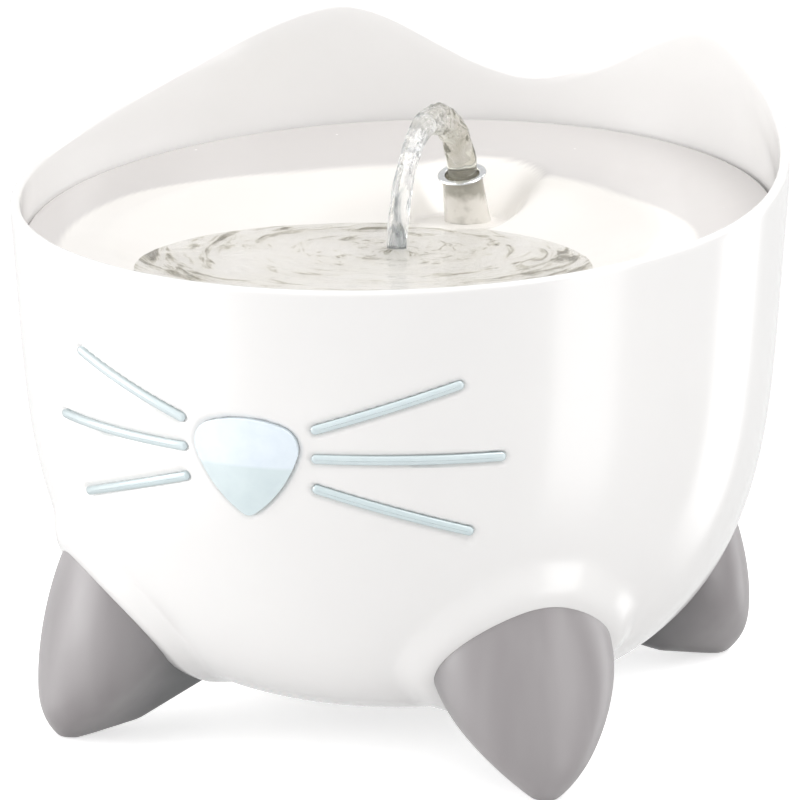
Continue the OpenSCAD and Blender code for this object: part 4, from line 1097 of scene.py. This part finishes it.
def bezier(t, points):
    a, b, c, d = (np.array(p, float) for p in points)
    s = 1 - t
    place = s**3 * a + 3 * s * s * t * b + 3 * s * t * t * c + t**3 * d
    way = s * s * (b - a) + 2 * s * t * (c - b) + t * t * (d - c)
    return place, way / np.linalg.norm(way)


mouth = nozzle_turn() @ Vector((0, 0, -1.5 * MM)) / MM
JET = [(mouth.y, mouth.z), (NOZZLE_Y - 4, 174.0), (5.0, 184.8), (JET_LAND_Y, WATER_Z + 0.3)]


def jet_width(t):
    if t < 0.12:
        return 5.0
    if t < 0.45:
        return 5.0 - 0.2 * math.sin((t - 0.12) * 12)
    return 5.0 - 1.8 * smooth_step((t - 0.42) / 0.3)


def water_jet():
    steps, sides = 120, 56
    rows = []
    for i in range(steps + 1):
        t = i / steps
        (y, z), (wy, wz) = bezier(t, JET)
        row = []
        for k in range(sides):
            a = 2 * math.pi * k / sides
            lumps = noise.fractal(Vector((math.cos(a) * 1.1, math.sin(a) * 1.1, t * 9.0)), 0.8, 2.0, 4)
            veins = noise.noise(Vector((math.cos(a) * 2.6, math.sin(a) * 2.6, t * 3.0 + 7)))
            w = jet_width(t) * (0.90 + 0.16 * lumps * smooth_step(t * 5) + 0.14 * veins * smooth_step(t * 4))
            w = min(w, jet_width(t) * 1.02)
            side, out = w * math.sin(a), w * math.cos(a)
            row.append((side, y - out * wz, z + out * wy))
        rows.append(row)
    jet = grid_object("water_jet", rows, sharp=80)
    point_values(jet, "fall", [1 - smooth_step((v.co.y / MM - 24) / 14) for v in jet.data.vertices])
    return jet


finish(water_surface(), "dish", "water", "water_pool")
finish(water_jet(), "nozzle", "water", "water_stream", look="water_jet")


# --- Carried-over CAD nodes --------------------------------
for node, obj in frame["nodes"].items():
    if not obj.hide_render:
        obj.data.materials.clear()
        obj.data.materials.append(materials[SLOT_OF[node]])


# --- Stage -------------------------------------------------
FLOOR_GLOW = 0.62
WORLD_LIGHT = 0.64


def camera_share(tree, kinds):
    """1 for rays of these kinds, and 0 for others."""
    path = tree.nodes.new("ShaderNodeLightPath")
    out = path.outputs[kinds[0]]
    for kind in kinds[1:]:
        out = math_out(tree, "MAXIMUM", out, path.outputs[kind])
    return out


def make_floor():
    """Pale floor that keeps the shadow, and lets glossy surfaces mirror the room's lights instead of it."""
    size = 6000.0
    floor = new_mesh("floor", [(-size, -size, 0), (size, -size, 0), (size, size, 0), (-size, size, 0)],
                     [(0, 1, 2, 3)])
    mat = bpy.data.materials.new("floor")
    mat.use_nodes = True
    tree = mat.node_tree
    link = tree.links.new
    bsdf = tree.nodes["Principled BSDF"]
    bsdf.inputs["Base Color"].default_value = (0.86, 0.86, 0.86, 1)
    bsdf.inputs["Roughness"].default_value = 0.7
    glow = tree.nodes.new("ShaderNodeEmission")
    add = tree.nodes.new("ShaderNodeAddShader")
    strength = math_out(tree, "MULTIPLY", camera_share(tree, ["Is Camera Ray"]), FLOOR_GLOW)
    link(strength, glow.inputs["Strength"])
    link(bsdf.outputs[0], add.inputs[0])
    link(glow.outputs[0], add.inputs[1])
    clear = tree.nodes.new("ShaderNodeBsdfTransparent")
    mix = tree.nodes.new("ShaderNodeMixShader")
    link(camera_share(tree, ["Is Glossy Ray"]), mix.inputs[0])
    link(add.outputs[0], mix.inputs[1])
    link(clear.outputs[0], mix.inputs[2])
    link(mix.outputs[0], tree.nodes["Material Output"].inputs["Surface"])
    floor.data.materials.append(mat)


# Brightness of the room around the fountain, at azimuths where 0 is in front of the face
ROOM = [(-180, 0.9), (-104, 0.8), (-88, 2.1), (-38, 2.1), (-22, 0.9), (20, 0.75), (50, 0.55),
        (67, 0.55), (71, 2.7), (88, 2.5), (93, 0.7), (112, 0.45), (130, 0.5), (134, 2.5), (150, 2.5),
        (156, 0.7), (180, 0.9)]


def make_world():
    """White for the camera, and a room with soft vertical lights for everything else."""
    world = bpy.data.worlds.new("studio")
    bpy.context.scene.world = world
    world.use_nodes = True
    tree = world.node_tree
    link = tree.links.new
    back = tree.nodes["Background"]
    back.inputs["Color"].default_value = (1, 1, 1, 1)

    def calc(operation, *values):
        return math_out(tree, operation, *values)

    way = tree.nodes.new("ShaderNodeSeparateXYZ")
    coords = tree.nodes.new("ShaderNodeTexCoord")
    link(coords.outputs["Generated"], way.inputs["Vector"])
    front = calc("MULTIPLY", way.outputs["Y"], -1.0)
    turn = calc("ARCTAN2", way.outputs["X"], front)
    place = calc("ADD", calc("DIVIDE", turn, 2 * math.pi), 0.5)
    ramp = tree.nodes.new("ShaderNodeValToRGB")
    top = max(level for _, level in ROOM)
    fill_ramp(ramp.color_ramp, [((angle + 180) / 360, (level / top,) * 3) for angle, level in ROOM])
    link(place, ramp.inputs["Fac"])
    fade = tree.nodes.new("ShaderNodeMapRange")
    fade.interpolation_type = "SMOOTHSTEP"
    fade.inputs["From Min"].default_value = -0.62
    fade.inputs["From Max"].default_value = -0.36
    link(way.outputs["Z"], fade.inputs["Value"])
    lights = calc("MULTIPLY", calc("MULTIPLY", ramp.outputs["Color"], top), fade.outputs["Result"])
    below = calc("MULTIPLY", calc("SUBTRACT", 1.0, fade.outputs["Result"]), 0.75)
    room = calc("ADD", lights, below)
    mirrored = camera_share(tree, ["Is Glossy Ray"])
    soft = calc("MULTIPLY", calc("SUBTRACT", 1.0, mirrored), WORLD_LIGHT)
    other = calc("ADD", calc("MULTIPLY", room, mirrored), soft)
    straight = camera_share(tree, ["Is Camera Ray", "Is Transmission Ray"])
    level = calc("ADD", straight, calc("MULTIPLY", other, calc("SUBTRACT", 1.0, straight)))
    link(level, back.inputs["Strength"])


def softbox(name, azimuth, elevation, distance, size, watts):
    """A square lamp that looks at the bowl; azimuth 0 is in front of the face, positive towards +X."""
    light = bpy.data.lights.new(name, "AREA")
    light.shape, light.size, light.energy = "SQUARE", size, watts
    obj = scene_object(name, light)
    a, e = math.radians(azimuth), math.radians(elevation)
    way = Vector((math.sin(a) * math.cos(e), -math.cos(a) * math.cos(e), math.sin(e)))
    obj.location = Vector((0, 0, 0.1)) + way * distance
    obj.rotation_mode = "QUATERNION"
    obj.rotation_quaternion = (-way).to_track_quat("-Z", "Y")


def make_camera():
    cam = bpy.data.cameras.new("camera")
    cam.lens, cam.sensor_width = 168.39, 36.0
    cam.shift_x, cam.shift_y = 0.0016, 0.0002
    cam.clip_start, cam.clip_end = 0.05, 50
    obj = scene_object("camera", cam)
    obj.location = (0.40275, -0.99875, 0.34821)
    aim = Vector((0, 0, 0.0903)) - obj.location
    obj.rotation_mode = "QUATERNION"
    obj.rotation_quaternion = aim.to_track_quat("-Z", "Y")
    bpy.context.scene.camera = obj


make_camera()
make_world()
make_floor()
softbox("key_left", azimuth=-62, elevation=12, distance=1.6, size=1.0, watts=12.5)
softbox("key_right", azimuth=84, elevation=58, distance=1.6, size=1.0, watts=13.0)
softbox("top_front", azimuth=0, elevation=62, distance=1.4, size=0.9, watts=2.2)

bpy.context.scene.view_settings.view_transform = "Standard"
